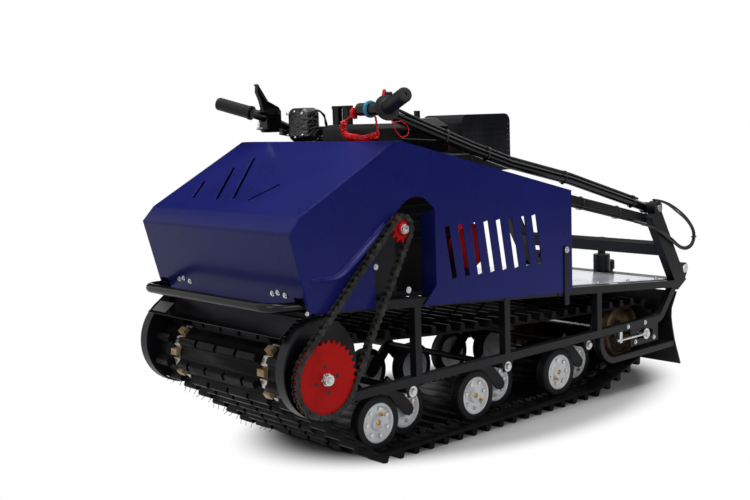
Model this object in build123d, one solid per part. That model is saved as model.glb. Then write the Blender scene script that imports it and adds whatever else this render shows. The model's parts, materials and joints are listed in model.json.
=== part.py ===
from build123d import *
import os
from math import acos, asin, atan2, cos, degrees, hypot, pi, sin, tan

os.makedirs("parts", exist_ok=True)

# Frame of the model: +X forward, +Y left, +Z up, ground at zero, millimetres.

# Track
track_clearance = 37.0
track_pitch = 50.5
belt_thickness = 5.0
lug_height = 17.5
lug_base = 20.0
lug_tip = 10.0
window_inset = 76.0
window_width = 30.0
window_share = 0.0
lug_share = 0.5
drive_teeth = 8
idler_teeth = 10
tooth_reach = 10.0
tooth_width = 24.0
tooth_foot = 22.0
tooth_crown = 13.0
upper_run_bow = 15000.0
running_gap = 0.3

# Places of the axles
drive_x = 668.0
drive_z = 249.0
idler_x_nominal = -538.0
idler_z = 156.0
front_roller_x = 441.8
bogie_pitch = 335.5
bogie_count = 3
bogie_stagger = 132.0
tyre_radius = 66.0

# Frame tubes
frame_half_width = 287.0
track_half = frame_half_width - track_clearance
window_row_y = track_half - window_inset
tube = 20.0
lower_rail_z = 189.5
lower_rail_front_x = 581.0
lower_rail_bend_x = -612.0
bend_radius = 40.0
upright_foot_x = -722.0
tail_inset = 32.0
tail_x = upright_foot_x + tail_inset
tail_z = 281.0
rail_front_x = 640.0
rail_front_z = 394.5
post_front_x = 372.0
post_middle_x = 60.5
post_rear_x = -318.5

# Chain drive
chain_pitch = 15.875
chain_offset = 18.0
big_teeth = 32
small_teeth = 11
countershaft_x = 434.0
countershaft_z = 546.0

# Cowl
cowl_gap = 2.5
sheet = 2.0

# Boom
hinge_x = -600.0
hinge_z = 512.0
arm_tube = 25.0

overrun = 1.0

# Sides of the round pieces that repeat
few_sides = 8
some_sides = 12
many_sides = 20


def polygon(points):
    return make_face(Polyline(*points, close=True))


def side(sketch, y_low, y_high):
    """Extrudes a sketch drawn in x and z across the machine, from y_low to y_high."""
    return Pos(0, y_low, 0) * extrude(Plane.XZ * sketch, amount=y_high - y_low, dir=(0, 1, 0))


def disc(x, z, radius, y_low, y_high, sides=None):
    shape = RegularPolygon(radius, sides) if sides else Circle(radius)
    return side(Pos(x, z) * shape, y_low, y_high)


def block(x_low, x_high, y_low, y_high, z_low, z_high):
    size = (x_high - x_low, y_high - y_low, z_high - z_low)
    centre = Pos((x_low + x_high) / 2, (y_low + y_high) / 2, (z_low + z_high) / 2)
    return centre * Box(*size)


def strip(points, width, radius=0.0):
    """A band of even width along a bent line."""
    line = FilletPolyline(*points, radius=radius) if radius else Polyline(*points)
    return trace(line, line_width=width)


def pipe(points, diameter, radii, sides):
    """A tube along a route of straight runs and bends, each bend in even chords."""
    line = [points[0]]
    for before, corner, after, radius in zip(points, points[1:], points[2:], radii):
        into, out = Vector(*corner) - Vector(*before), Vector(*after) - Vector(*corner)
        half = into.get_angle(out) / 2 * pi / 180
        inward = (out.normalized() - into.normalized()).normalized()
        ahead = (out.normalized() + into.normalized()).normalized()
        middle = Vector(*corner) + inward * (radius / cos(half))
        chords = round(half * many_sides / pi)
        for n in range(chords + 1):
            turn = half * (2 * n / chords - 1) if chords else half
            line.append(middle - inward * (radius * cos(turn)) + ahead * (radius * sin(turn)))
    path = Polyline(*line, points[-1])
    section = Plane(path @ 0, z_dir=path % 0) * RegularPolygon(diameter / 2, sides)
    return sweep(section, path=path, transition=Transition.RIGHT)


def cord(points, diameter, sides):
    """A cable along points chosen by hand, with every corner eased as far as its runs allow."""
    radii = []
    ease_share = 0.45
    for before, corner, after in zip(points, points[1:], points[2:]):
        into, out = Vector(*corner) - Vector(*before), Vector(*after) - Vector(*corner)
        half_turn = into.get_angle(out) / 2 * pi / 180
        radii.append(ease_share * min(into.length, out.length) / tan(half_turn))
    print("cord", diameter, "smallest bend", min(radii))
    path = FilletPolyline(*points, radius=radii)
    return sweep(Plane(path @ 0, z_dir=path % 0) * RegularPolygon(diameter / 2, sides), path=path)


def mirrored(shape):
    return mirror(shape, about=Plane.XZ)


def both(shape):
    return Compound([*shape.solids(), *mirrored(shape).solids()])


nodes = {}


def write(name, *shapes):
    nodes[name] = [solid for shape in shapes for solid in shape.solids()]


class Loop:
    """A closed run round wheels, travelled forward over the top: arcs and straight runs of its pitch line."""

    def __init__(self, wheels, bow=None):
        # wheels: x, z, radius of the pitch line; from the front upper one round by the ground to the rear one
        self.runs = []
        normals = []
        for (ax, az, ar), (bx, bz, br) in zip(wheels, wheels[1:] + wheels[:1]):
            gap = hypot(bx - ax, bz - az)
            normals.append(atan2(bz - az, bx - ax) + asin((br - ar) / gap) + pi / 2)
        leave, arrive = normals[-1], normals[-1]
        if bow:
            (ax, az, ar), (bx, bz, br) = wheels[-1], wheels[0]
            gap, ra, rb = hypot(bx - ax, bz - az), bow + ar, bow + br
            turn = acos((ra**2 + gap**2 - rb**2) / (2 * ra * gap))
            leave = atan2(bz - az, bx - ax) + turn
            centre = (ax + ra * cos(leave), az + ra * sin(leave))
            arrive = atan2(centre[1] - bz, centre[0] - bx)
        for i, (x, z, r) in enumerate(wheels):
            first = arrive if i == 0 else normals[i - 1]
            last = leave if i == len(wheels) - 1 else normals[i]
            while last > first:
                last -= 2 * pi
            while last < first - 2 * pi:
                last += 2 * pi
            self.runs.append((x, z, r, first, last))
            if i < len(wheels) - 1 or not bow:
                nx, nz, nr = wheels[(i + 1) % len(wheels)]
                start = (x + r * cos(last), z + r * sin(last))
                end = (nx + nr * cos(last), nz + nr * sin(last))
                self.runs.append((*start, *end))
        if bow:
            self.runs.append((*centre, -bow, leave + pi, arrive + pi))
        self.length = sum(self.run_length(run) for run in self.runs)

    def run_length(self, run):
        if len(run) == 4:
            return hypot(run[2] - run[0], run[3] - run[1])
        return abs(run[2] * (run[4] - run[3]))

    def on_run(self, run, along, grow):
        if len(run) == 4:
            length = self.run_length(run)
            ux, uz = (run[2] - run[0]) / length, (run[3] - run[1]) / length
            return run[0] + ux * along - uz * grow, run[1] + uz * along + ux * grow, atan2(uz, ux)
        x, z, r, first, last = run
        angle = first + (last - first) * along / self.run_length(run)
        if r > 0:
            return x + (r + grow) * cos(angle), z + (r + grow) * sin(angle), angle - pi / 2
        return x - (r + grow) * cos(angle), z - (r + grow) * sin(angle), angle + pi / 2

    def at(self, station, grow=0.0):
        """Place and direction of travel at a station along the run, moved outward by grow."""
        station %= self.length
        for run in self.runs:
            length = self.run_length(run)
            if station <= length:
                return self.on_run(run, station, grow)
            station -= length
        return self.on_run(self.runs[-1], length, grow)

    def face(self, grow):
        edges = []
        for run in self.runs:
            length = self.run_length(run)
            ends = [self.on_run(run, share * length, grow)[:2] for share in (0.0, 0.5, 1.0)]
            edges.append(Line(ends[0], ends[2]) if len(run) == 4 else ThreePointArc(*ends))
        return make_face(edges)


def whole_pitches(make, nominal, step, pitch):
    """Moves one place until the loop holds a whole number of pitches."""
    count = round(make(nominal).length / pitch)
    place = nominal
    for _ in range(12):
        error = make(place).length - count * pitch
        slope = (make(place + step).length - make(place).length) / step
        place -= error / slope
    return place, count


def toothed(teeth, root, tip, foot_share, crown_share, phase):
    """Outline of a toothed wheel: four points a tooth."""
    step = 2 * pi / teeth
    points = []
    for k in range(teeth):
        for radius, share in ((root, -foot_share), (tip, -crown_share), (tip, crown_share), (root, foot_share)):
            angle = phase + (k + share) * step
            points.append((radius * cos(angle), radius * sin(angle)))
    return polygon(points)


# Track
belt_mid = belt_thickness / 2
drive_radius = drive_teeth * track_pitch / (2 * pi)
idler_radius = idler_teeth * track_pitch / (2 * pi)
roller_z = lug_height + belt_thickness + running_gap + tyre_radius
rear_roller_x = front_roller_x - bogie_pitch * (bogie_count - 1) - bogie_stagger
roller_line = tyre_radius + running_gap + belt_mid


def track_loop(idler_x):
    wheels = [
        (drive_x, drive_z, drive_radius),
        (front_roller_x, roller_z, roller_line),
        (rear_roller_x, roller_z, roller_line),
        (idler_x, idler_z, idler_radius),
    ]
    return Loop(wheels, upper_run_bow)


idler_x, lug_count = whole_pitches(track_loop, idler_x_nominal, belt_thickness, track_pitch)
track_path = track_loop(idler_x)


def lug_outline(phase_share):
    points = []
    for k in range(lug_count):
        middle = (k + phase_share) * track_pitch
        for off, grow in ((-lug_base, 0.0), (-lug_tip, lug_height), (lug_tip, lug_height), (lug_base, 0.0)):
            points.append(track_path.at(middle + off / 2, belt_mid + grow)[:2])
        half = track_pitch / 2
        before, after = track_path.at(middle + half - lug_tip), track_path.at(middle + half + lug_tip)
        if abs(before[2] - after[2]) > running_gap / tyre_radius:
            points.append(track_path.at(middle + half, belt_mid)[:2])
    return polygon(points)


window_inner = window_row_y - window_width / 2
window_outer = window_row_y + window_width / 2
belt_hole = track_path.face(-belt_mid)
track = side(lug_outline(lug_share) - belt_hole, -track_half, track_half)
valleys = []
for k in range(lug_count):
    middle = (k + lug_share) * track_pitch
    for off, grow in ((-lug_base / 2, 0.0), (lug_base / 2, 0.0), (track_pitch / 2, overrun)):
        valleys.append(track_path.at(middle + off, belt_mid + grow)[:2])
for low, high in ((window_inner, window_outer), (-window_outer, -window_inner)):
    track -= side(polygon(valleys), low, high)
write("track", track)


def wheel_phase(x, z):
    """Angle of one window on the wheel that stands at x and z."""
    for k in range(lug_count):
        wx, wz, direction = track_path.at((k + window_share) * track_pitch)
        radius = hypot(wx - x, wz - z)
        on_drive = (x, z) == (drive_x, drive_z) and abs(radius - drive_radius) < running_gap
        on_idler = (x, z) == (idler_x, idler_z) and abs(radius - idler_radius) < running_gap
        if on_drive or on_idler:
            return atan2(wz - z, wx - x)


# Drive axle
axle_diameter = 30.0
axle_sides = 6
drive_wheel_face = 60.0
rim_depth = 12.0
web = 8.0
hub_radius = 28.0


def track_wheel(x, z, pitch_radius, teeth, bore, bore_sides):
    seat = pitch_radius - belt_mid - running_gap
    step = 2 * pi * pitch_radius / teeth
    outline = toothed(
        teeth,
        seat - rim_depth / 2,
        pitch_radius + belt_mid + tooth_reach,
        tooth_foot / 2 / step,
        tooth_crown / 2 / step,
        wheel_phase(x, z),
    )
    half = tooth_width / 2
    teeth_ring = side(Pos(x, z) * outline, window_row_y - half, window_row_y + half)
    rim_half = drive_wheel_face / 2
    rim = disc(x, z, seat, window_row_y - rim_half, window_row_y + rim_half, many_sides)
    for low, high in ((-rim_half - overrun, -web / 2), (web / 2, rim_half + overrun)):
        pocket = RegularPolygon(seat - rim_depth, many_sides) - RegularPolygon(hub_radius, few_sides)
        rim -= side(Pos(x, z) * pocket, window_row_y + low, window_row_y + high)
    reach = window_row_y + drive_wheel_face
    return rim + teeth_ring - disc(x, z, bore, window_row_y - drive_wheel_face, reach, bore_sides)


write("drive_wheels", both(track_wheel(drive_x, drive_z, drive_radius, drive_teeth, axle_diameter / 2, axle_sides)))
idler_axle_diameter = 20.0
write("idler_wheels", both(track_wheel(
    idler_x, idler_z, idler_radius, idler_teeth, idler_axle_diameter / 2, some_sides
)))

chain_y = frame_half_width + chain_offset
sprocket_half = 4.45
washer_radius = 14.0
washer_thickness = 2.5
nut_radius = 10.0
nut_depth = 6.0
sprocket_face = chain_y + sprocket_half
washer_face = sprocket_face + washer_thickness
drive_axle = disc(drive_x, drive_z, axle_diameter / 2, -frame_half_width, sprocket_face, axle_sides)
drive_axle += disc(drive_x, drive_z, washer_radius, sprocket_face, washer_face, some_sides)
write("drive_axle", drive_axle + disc(drive_x, drive_z, nut_radius, washer_face, washer_face + nut_depth, axle_sides))

# Chain drive
big_radius = big_teeth * chain_pitch / (2 * pi)
small_radius = small_teeth * chain_pitch / (2 * pi)
roller_radius = 4.0
plate_half = 6.5
plate_waist = 4.8
plate_thickness = 4.0


def chain_loop(small_z):
    wheels = [(drive_x, drive_z, big_radius), (countershaft_x, small_z, small_radius)]
    return Loop(wheels)


small_z, link_count = whole_pitches(chain_loop, countershaft_z, belt_thickness, chain_pitch)
chain_path = chain_loop(small_z)


def turning(grow):
    """Outline at the chain's pins where it turns, and at the ends of its straight runs."""
    points = []
    for k in range(link_count):
        before, here, after = (chain_path.at((k + n) * chain_pitch, grow) for n in (-1, 0, 1))
        if max(abs(sin(here[2] - before[2])), abs(sin(after[2] - here[2]))) > belt_thickness / drive_z:
            points.append(here[:2])
    return points


def waisted():
    """Outline of the outer plates: wide at the pins, narrow between them."""
    points = []
    for k in range(link_count):
        for share, half in ((0.0, plate_half), (0.5, plate_waist)):
            points.append(chain_path.at((k + share) * chain_pitch, half)[:2])
    return points


plate_in = sprocket_half + running_gap
plate_hole = polygon(turning(-plate_waist))
chain = side(polygon(waisted()) - plate_hole, chain_y + plate_in, chain_y + plate_in + plate_thickness)
inner_plates = polygon(turning(plate_waist)) - plate_hole
chain += side(inner_plates, chain_y - plate_in - plate_thickness, chain_y - plate_in)
rollers = []
roller_sides = 4
for k in range(link_count):
    x, z, direction = chain_path.at(k * chain_pitch)
    roller = Pos(x, z) * Rot(0, 0, degrees(direction)) * RegularPolygon(roller_radius, roller_sides)
    rollers.append(side(roller, chain_y - plate_in, chain_y + plate_in))
write("drive_chain", chain + rollers)
tooth_foot_share = 0.26
tooth_crown_share = 0.08


def sprocket(x, z, teeth, radius, hub, bore, bore_sides, hub_low, hub_high):
    phase = 0.0
    for k in range(link_count):
        rx, rz, direction = chain_path.at(k * chain_pitch)
        if abs(hypot(rx - x, rz - z) - radius) < running_gap:
            phase = atan2(rz - z, rx - x) + pi / teeth
    root = radius - roller_radius - running_gap
    outline = toothed(teeth, root, radius + roller_radius, tooth_foot_share, tooth_crown_share, phase)
    body = side(Pos(x, z) * outline, chain_y - sprocket_half, sprocket_face)
    body += disc(x, z, hub, hub_low, hub_high, some_sides)
    return body - disc(x, z, bore, hub_low - chain_y, hub_high + chain_y, bore_sides)


sprocket_hub = 22.0
sprocket_back = frame_half_width + running_gap
big_sprocket = sprocket(
    drive_x, drive_z, big_teeth, big_radius, sprocket_hub, axle_diameter / 2, axle_sides,
    sprocket_back, sprocket_face,
)
sprocket_hole_radius = 4.5
sprocket_hole_circle = 34.0
sprocket_hole_share = 0.5
for k in range(4):
    angle = (k + sprocket_hole_share) * pi / 2
    x, z = drive_x + sprocket_hole_circle * cos(angle), drive_z + sprocket_hole_circle * sin(angle)
    big_sprocket -= disc(x, z, sprocket_hole_radius, sprocket_back - overrun, sprocket_face + overrun, few_sides)
write("big_sprocket", big_sprocket)
countershaft_diameter = 20.0
small_hub = 15.0
hub_length = 6.0
write("small_sprocket", sprocket(
    countershaft_x, small_z, small_teeth, small_radius, small_hub, countershaft_diameter / 2, some_sides,
    sprocket_back, sprocket_face + hub_length,
))

# Countershaft and its carrier
carrier_inset = 51.0
carrier_y = frame_half_width - carrier_inset
carrier_thickness = 8.0
carrier_half = 45.0
bearing_radius = 31.0
bearing_width = 16.0
shaft_inner_y = 60.0
write("countershaft", disc(
    countershaft_x, small_z, countershaft_diameter / 2, shaft_inner_y, sprocket_face + 2 * hub_length, some_sides
))


rail_slope = atan2(rail_front_z - tail_z, rail_front_x - tail_x)


def rail_z(x):
    """Height of the inclined top rail's centre line."""
    return rail_front_z + (x - rail_front_x) * tan(rail_slope)


hoop_x = 654.0
hoop_z = 268.0
hoop_radius = 110.0
hoop_width = 28.0
hoop_thickness = 5.0


# Side frames
frame_in = frame_half_width - tube
post_x = (post_front_x, post_middle_x, post_rear_x)
upright_depth = 50.0
upright_width = 25.0
upright_top_x = -588.0
upright_top_z = 500.0
upright_foot_z = 275.0
upright_in = frame_half_width - upright_width
hinge_ear = 20.0
hinge_bore = 6.2
bushing_reach = 13.0
bushing_x = upright_foot_x - bushing_reach
bushing_z = 322.0
bushing_radius = 17.5
bushing_bore = 8.2


def side_frame():
    low = [(lower_rail_front_x, lower_rail_z), (lower_rail_bend_x, lower_rail_z), (tail_x, tail_z)]
    frame = side(strip(low, tube, bend_radius), frame_in, frame_half_width)
    high = [(rail_front_x, rail_front_z), (tail_x, tail_z)]
    frame += side(strip(high, tube), frame_in, frame_half_width)
    for x in post_x:
        post = [(x, lower_rail_z), (x, rail_z(x))]
        frame += side(strip(post, tube), frame_in, frame_half_width)
    lean = [(upright_foot_x, upright_foot_z), (upright_top_x, upright_top_z)]
    frame += side(strip(lean, upright_depth), upright_in, frame_half_width)
    frame += disc(hinge_x, hinge_z, hinge_ear, upright_in, frame_half_width, many_sides)
    gusset = [(bushing_x, bushing_z), (upright_foot_x, upright_foot_z + upright_depth / 2)]
    frame += side(strip(gusset, 2 * bushing_radius), upright_in, frame_half_width)
    frame += disc(bushing_x, bushing_z, bushing_radius, upright_in, frame_half_width, many_sides)
    hoop = Circle(hoop_radius + hoop_thickness / 2) - Circle(hoop_radius - hoop_thickness / 2)
    far = 2 * hoop_radius
    hoop -= polygon([(0, 0), (-far, -far), (-far, far), (0, far)])
    frame += side(Pos(hoop_x, hoop_z) * hoop, frame_half_width - hoop_width, frame_half_width)
    frame -= disc(bushing_x, bushing_z, bushing_bore, upright_in - overrun, frame_half_width + overrun)
    frame -= disc(hinge_x, hinge_z, hinge_bore, upright_in - overrun, frame_half_width + overrun)
    return frame


write("side_frame_left", side_frame())
write("side_frame_right", mirrored(side_frame()))

cross_members = []
for x in post_x:
    member = Rot(0, -degrees(rail_slope), 0) * Box(tube, 2 * frame_in, tube)
    cross_members.append(Pos(x, 0, rail_z(x)) * member)
write("cross_members", *cross_members)

tail_beam_depth = 40.0
tail_beam_height = 30.0
tail_beam_inset = 4.0
tail_beam_x = upright_foot_x + tail_beam_inset
tail_beam_z = 277.0
tail_beam = block(
    tail_beam_x - tail_beam_depth / 2, tail_beam_x + tail_beam_depth / 2, -upright_in, upright_in,
    tail_beam_z - tail_beam_height / 2, tail_beam_z + tail_beam_height / 2,
)
write("tail_beam", tail_beam)

upright_lean = atan2(upright_top_x - upright_foot_x, upright_top_z - upright_foot_z)
cross_tube_height = 40.0
cross_tube_depth = 20.0
cross_tube_z = 398.0
along = (cross_tube_z - upright_foot_z) / cos(upright_lean)
cross_x = upright_foot_x + along * sin(upright_lean)
inset = (upright_depth - cross_tube_depth) / 2
cross_tube = Pos(cross_x + inset * cos(upright_lean), 0, cross_tube_z - inset * sin(upright_lean))
cross_tube *= Rot(0, degrees(upright_lean), 0) * Box(cross_tube_depth, 2 * upright_in, cross_tube_height)
write("tail_cross_tube", cross_tube)

stay_tube = 25.0
stay_front_x = -90.0
stay_front_z = 597.0
stay_rear_x = -614.0
stay_rear_z = 474.5
stay = strip([(stay_front_x, stay_front_z), (stay_rear_x, stay_rear_z)], stay_tube)
write("stay_tubes", both(side(stay, upright_in - stay_tube, upright_in)))

# Bearing plates, bumper and splash plate
bearing_plate = RegularPolygon(hoop_radius - hoop_thickness / 2 - running_gap, many_sides)
axle_hole = RegularPolygon(axle_diameter / 2 + running_gap, axle_sides)
write("bearing_plates", both(side(
    Pos(hoop_x, hoop_z) * bearing_plate - Pos(drive_x, drive_z) * axle_hole, frame_in - hoop_thickness, frame_in
)))

bumper_tube = 22.0
bumper_front_x = 766.0
bumper_z = 409.0
bumper_front_inset = 35.0
bumper_mid_x = 692.0
bumper_mid_inset = 21.0
bumper_mid_z = 406.0
bumper_corner = 45.0
bumper_easing = 60.0
bumper_y = frame_half_width - bumper_front_inset
bumper_mid_y = frame_half_width - bumper_mid_inset
bumper_side = [
    (rail_front_x, frame_half_width - bumper_tube / 2 - running_gap, rail_front_z),
    (bumper_mid_x, bumper_mid_y, bumper_mid_z),
    (bumper_front_x, bumper_y, bumper_z),
]
bumper_points = bumper_side + [(x, -y, z) for x, y, z in reversed(bumper_side)]
bumper_bends = [bumper_easing, bumper_corner, bumper_corner, bumper_easing]
bumper = pipe(bumper_points, bumper_tube, bumper_bends, some_sides)
rail_end = block(
    rail_front_x - tube, rail_front_x, -frame_half_width - overrun, frame_half_width + overrun,
    rail_front_z - tube, rail_front_z + tube,
)
write("bumper", bumper - nodes["side_frame_left"] - nodes["side_frame_right"] - rail_end)

splash_fold_x = 706.0
splash_low_x = 754.0
splash_low_z = 345.0
splash_inset = 22.0
splash_half = frame_half_width - splash_inset
splash_z = hoop_z + hoop_radius + hoop_thickness / 2 + (sheet + running_gap) / 2
splash = strip([(hoop_x - tube / 2, splash_z), (splash_fold_x, splash_z), (splash_low_x, splash_low_z)], sheet)
write("splash_plate", side(splash, -splash_half, splash_half))

# Cowl
hood_rear_x = 410.0
hood_top_x = 433.0
hood_top_z = 744.0
nose_top_x = 707.0
nose_top_z = 599.0
nose_x = 739.0
nose_z = 566.0
chin_x = 692.0
chin_z = 391.0
panel_rear_x = -195.0
panel_rear_z = 592.0
panel_low_z = 322.0
panel_front_low_x = 370.0
panel_front_low_z = 364.0
hood_line = [(hood_rear_x, hood_top_z), (hood_top_x, hood_top_z), (nose_top_x, nose_top_z), (nose_x, nose_z), (chin_x, chin_z)]
hood_bend = 12.0
hood_in = frame_half_width + cowl_gap
cowl_half_width = hood_in + sheet
hood = side(strip(hood_line, sheet, hood_bend), -hood_in, hood_in)
notch_half = 16.0
notch_top_z = 424.0
for y in (-bumper_mid_y, bumper_mid_y):
    hood -= block(
        chin_x - tube, nose_x, y - notch_half, y + notch_half, chin_z - tube, notch_top_z,
    )
slope_length = hypot(nose_top_x - hood_top_x, hood_top_z - nose_top_z)
slope_tilt = degrees(atan2(hood_top_z - nose_top_z, nose_top_x - hood_top_x))
slot_width = 9.0
# slots in the slope: share of the slope's length and of the half width, at the upper and at the lower end
slot_shares = (
    (0.61, -0.76, 0.85, -0.60),
    (0.40, -0.605, 0.85, -0.255),
    (0.25, -0.50, 0.83, -0.05),
    (0.61, 0.30, 0.84, 0.16),
)
for high, high_y, low, low_y in slot_shares:
    run, rise = (low - high) * slope_length, (low_y - high_y) * hood_in
    slot_plane = Pos(hood_top_x, 0, hood_top_z) * Rot(0, slope_tilt, 0)
    slot_plane *= Pos((low + high) / 2 * slope_length, (low_y + high_y) / 2 * hood_in, 0)
    hood -= slot_plane * Rot(0, 0, degrees(atan2(rise, run))) * Box(hypot(run, rise), slot_width, 3 * sheet)
write("hood", hood)
panel = [
    *hood_line, (panel_front_low_x, panel_front_low_z), (panel_rear_x, panel_low_z), (panel_rear_x, panel_rear_z)
]
jamb_x = 312.0
jamb_top_z = 584.4
jamb_low_z = 404.0
jamb_foot_z = 358.0
jamb_depth = 47.0
opening_front_x = 690.0
opening_shelf_z = 457.0
opening_bend_x = 610.0
opening_peak_x = 370.6
opening_peak_z = 635.0
opening_low_x = 363.0
opening_low_z = 355.0
opening_corner = 14.0
opening_easing = 62.0
opening = FilletPolyline(
    (opening_front_x, opening_low_z), (opening_front_x, opening_shelf_z), (opening_bend_x, opening_shelf_z),
    (opening_peak_x, opening_peak_z), (jamb_x, jamb_top_z), (jamb_x, jamb_low_z), (opening_low_x, opening_low_z),
    radius=[opening_corner, opening_easing, opening_easing, opening_corner, opening_corner],
    close=False,
)
opening_face = make_face([*opening.edges(), Line(opening @ 1, opening @ 0)])
# upright slots in the flank between the posts
vent_front_x = 262.0
vent_rear_x = -52.0
vent_low_z = 414.0
vent_high_z = 540.0
vent_width = 16.0
vent_lean = 22.0
vent_count = 8
vents = []
for k in range(vent_count):
    x = vent_rear_x + (vent_front_x - vent_rear_x) * k / (vent_count - 1)
    vents.append(strip([(x - vent_lean / 2, vent_low_z), (x + vent_lean / 2, vent_high_z)], vent_width))
write("side_panel_right", side(polygon(panel) - vents, -cowl_half_width, -hood_in))
jamb = polygon([
    (hood_in, jamb_top_z), (hood_in - jamb_depth, jamb_top_z - vent_width), (hood_in - jamb_depth, jamb_foot_z),
    (hood_in, jamb_low_z),
])
left_panel = side(polygon(panel) - opening_face - vents, hood_in, cowl_half_width)
write("side_panel_left", left_panel + Pos(jamb_x - sheet, 0, 0) * extrude(Plane.YZ * jamb, amount=sheet))
chain_panel_rear_x = 503.0
chain_panel_low_z = 378.0
chain_panel_rear_z = 489.0
chain_panel_top_x = 560.0
chain_panel_top_z = 520.0
inner_panel = [
    (opening_front_x, chin_z), (chain_panel_rear_x, chain_panel_low_z), (chain_panel_rear_x, chain_panel_rear_z),
    (chain_panel_top_x, chain_panel_top_z), (opening_front_x, opening_shelf_z),
]
write("chain_panel", side(polygon(inner_panel), frame_half_width, frame_half_width + sheet))
spacer_radius = 12.0
spacer_inset = 45.0
spacer_front_x = 600.0
spacers = []
for x in (spacer_front_x, post_x[0] - tube, post_x[1], panel_rear_x + spacer_inset):
    spacers.append(disc(x, rail_z(x), spacer_radius, -hood_in, -frame_half_width, few_sides))
for x in (post_x[0] - 3 * tube, post_x[1], panel_rear_x + spacer_inset):
    spacers.append(disc(x, rail_z(x), spacer_radius, frame_half_width, hood_in, few_sides))
write("panel_spacers", *spacers)
strap_x = -168.0
strap_top_z = 448.0
strap_low_z = 292.0
strap_width = 18.0
strap_thickness = 4.0
strap = block(
    strap_x - strap_width / 2, strap_x + strap_width / 2, cowl_half_width, cowl_half_width + strap_thickness,
    strap_low_z, strap_top_z,
)
write("hood_straps", both(strap))

# Deck
deck_thickness = 3.0
deck_front_x = -190.0
deck_rear_inset = 18.0
deck_rear_x = tail_x + deck_rear_inset
deck_line = [(x, rail_z(x) + tube / 2 + deck_thickness / 2 + sheet / 10) for x in (deck_front_x, deck_rear_x)]
write("deck_plate", side(strip(deck_line, deck_thickness), -upright_in + overrun, upright_in - overrun))

# Guard loops, tension plates and mud flap
guard_bar = 18.0
guard_top_x = -329.0
guard_low_z = 105.0
guard_end_inset = 10.8
guard_end_x = tail_x + guard_end_inset
guard_bend = 60.0
guard_line = [(guard_top_x, lower_rail_z - tube / 2), (guard_top_x, guard_low_z), (guard_end_x, guard_low_z)]
write("guard_loops", both(side(strip(guard_line, guard_bar, guard_bend), frame_half_width - guard_bar, frame_half_width)))

tension_plate_front = -468.0
tension_plate_rear = -604.0
tension_plate_low = 127.0
tension_plate_top = lower_rail_z - tube / 2
tension_thickness = 5.0
tension_y = frame_half_width - tube / 2
slot_travel = 60.0
tension_plate = block(
    tension_plate_rear, tension_plate_front, tension_y, tension_y + tension_thickness, tension_plate_low, tension_plate_top
)
slot = Pos(idler_x, idler_z) * SlotCenterToCenter(slot_travel, idler_axle_diameter + 2 * running_gap)
tension_plate -= side(slot, tension_y - overrun, tension_y + tension_thickness + overrun)
write("tension_plates", both(tension_plate))
write("idler_axle", disc(
    idler_x, idler_z, idler_axle_diameter / 2, -frame_half_width, frame_half_width, some_sides
))
screw_diameter = 8.0
screw_front_x = -399.0
anchor_length = 12.0
anchor_low_z = 148.0
screw_half = screw_diameter / 2
screw_y = tension_y + tension_thickness + screw_half
screw_eye = Pos((idler_x + screw_front_x) / 2, screw_y, idler_z)
screw = screw_eye * Rot(0, 90, 0) * extrude(RegularPolygon(screw_half, axle_sides), (screw_front_x - idler_x) / 2, both=True)
anchor_front_x = screw_front_x - anchor_length
anchor = block(
    anchor_front_x - anchor_length, anchor_front_x, frame_in, frame_half_width, anchor_low_z, tension_plate_top,
)
screw -= disc(idler_x, idler_z, idler_axle_diameter / 2, frame_in, frame_half_width, some_sides)
write("tension_screws", both(screw + anchor))

flap_thickness = 5.0
flap_belly = 25.0
flap_kick = 23.0
flap_front_x = tail_x + flap_belly
flap_low_x = tail_x - flap_kick
flap_low_z = 38.0
flap_top_z = 258.0
# bends of the flap from its top: share of its reach forward and of its height
flap_shares = ((0.396, 1.0), (0.958, 0.795), (1.0, 0.677), (0.875, 0.527), (0.625, 0.332), (0.0, 0.0))
flap_line = [
    (flap_low_x + forward * (flap_front_x - flap_low_x), flap_low_z + up * (flap_top_z - flap_low_z))
    for forward, up in flap_shares
]
write("mud_flap", side(strip(flap_line, flap_thickness), -frame_half_width, frame_half_width))

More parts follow.
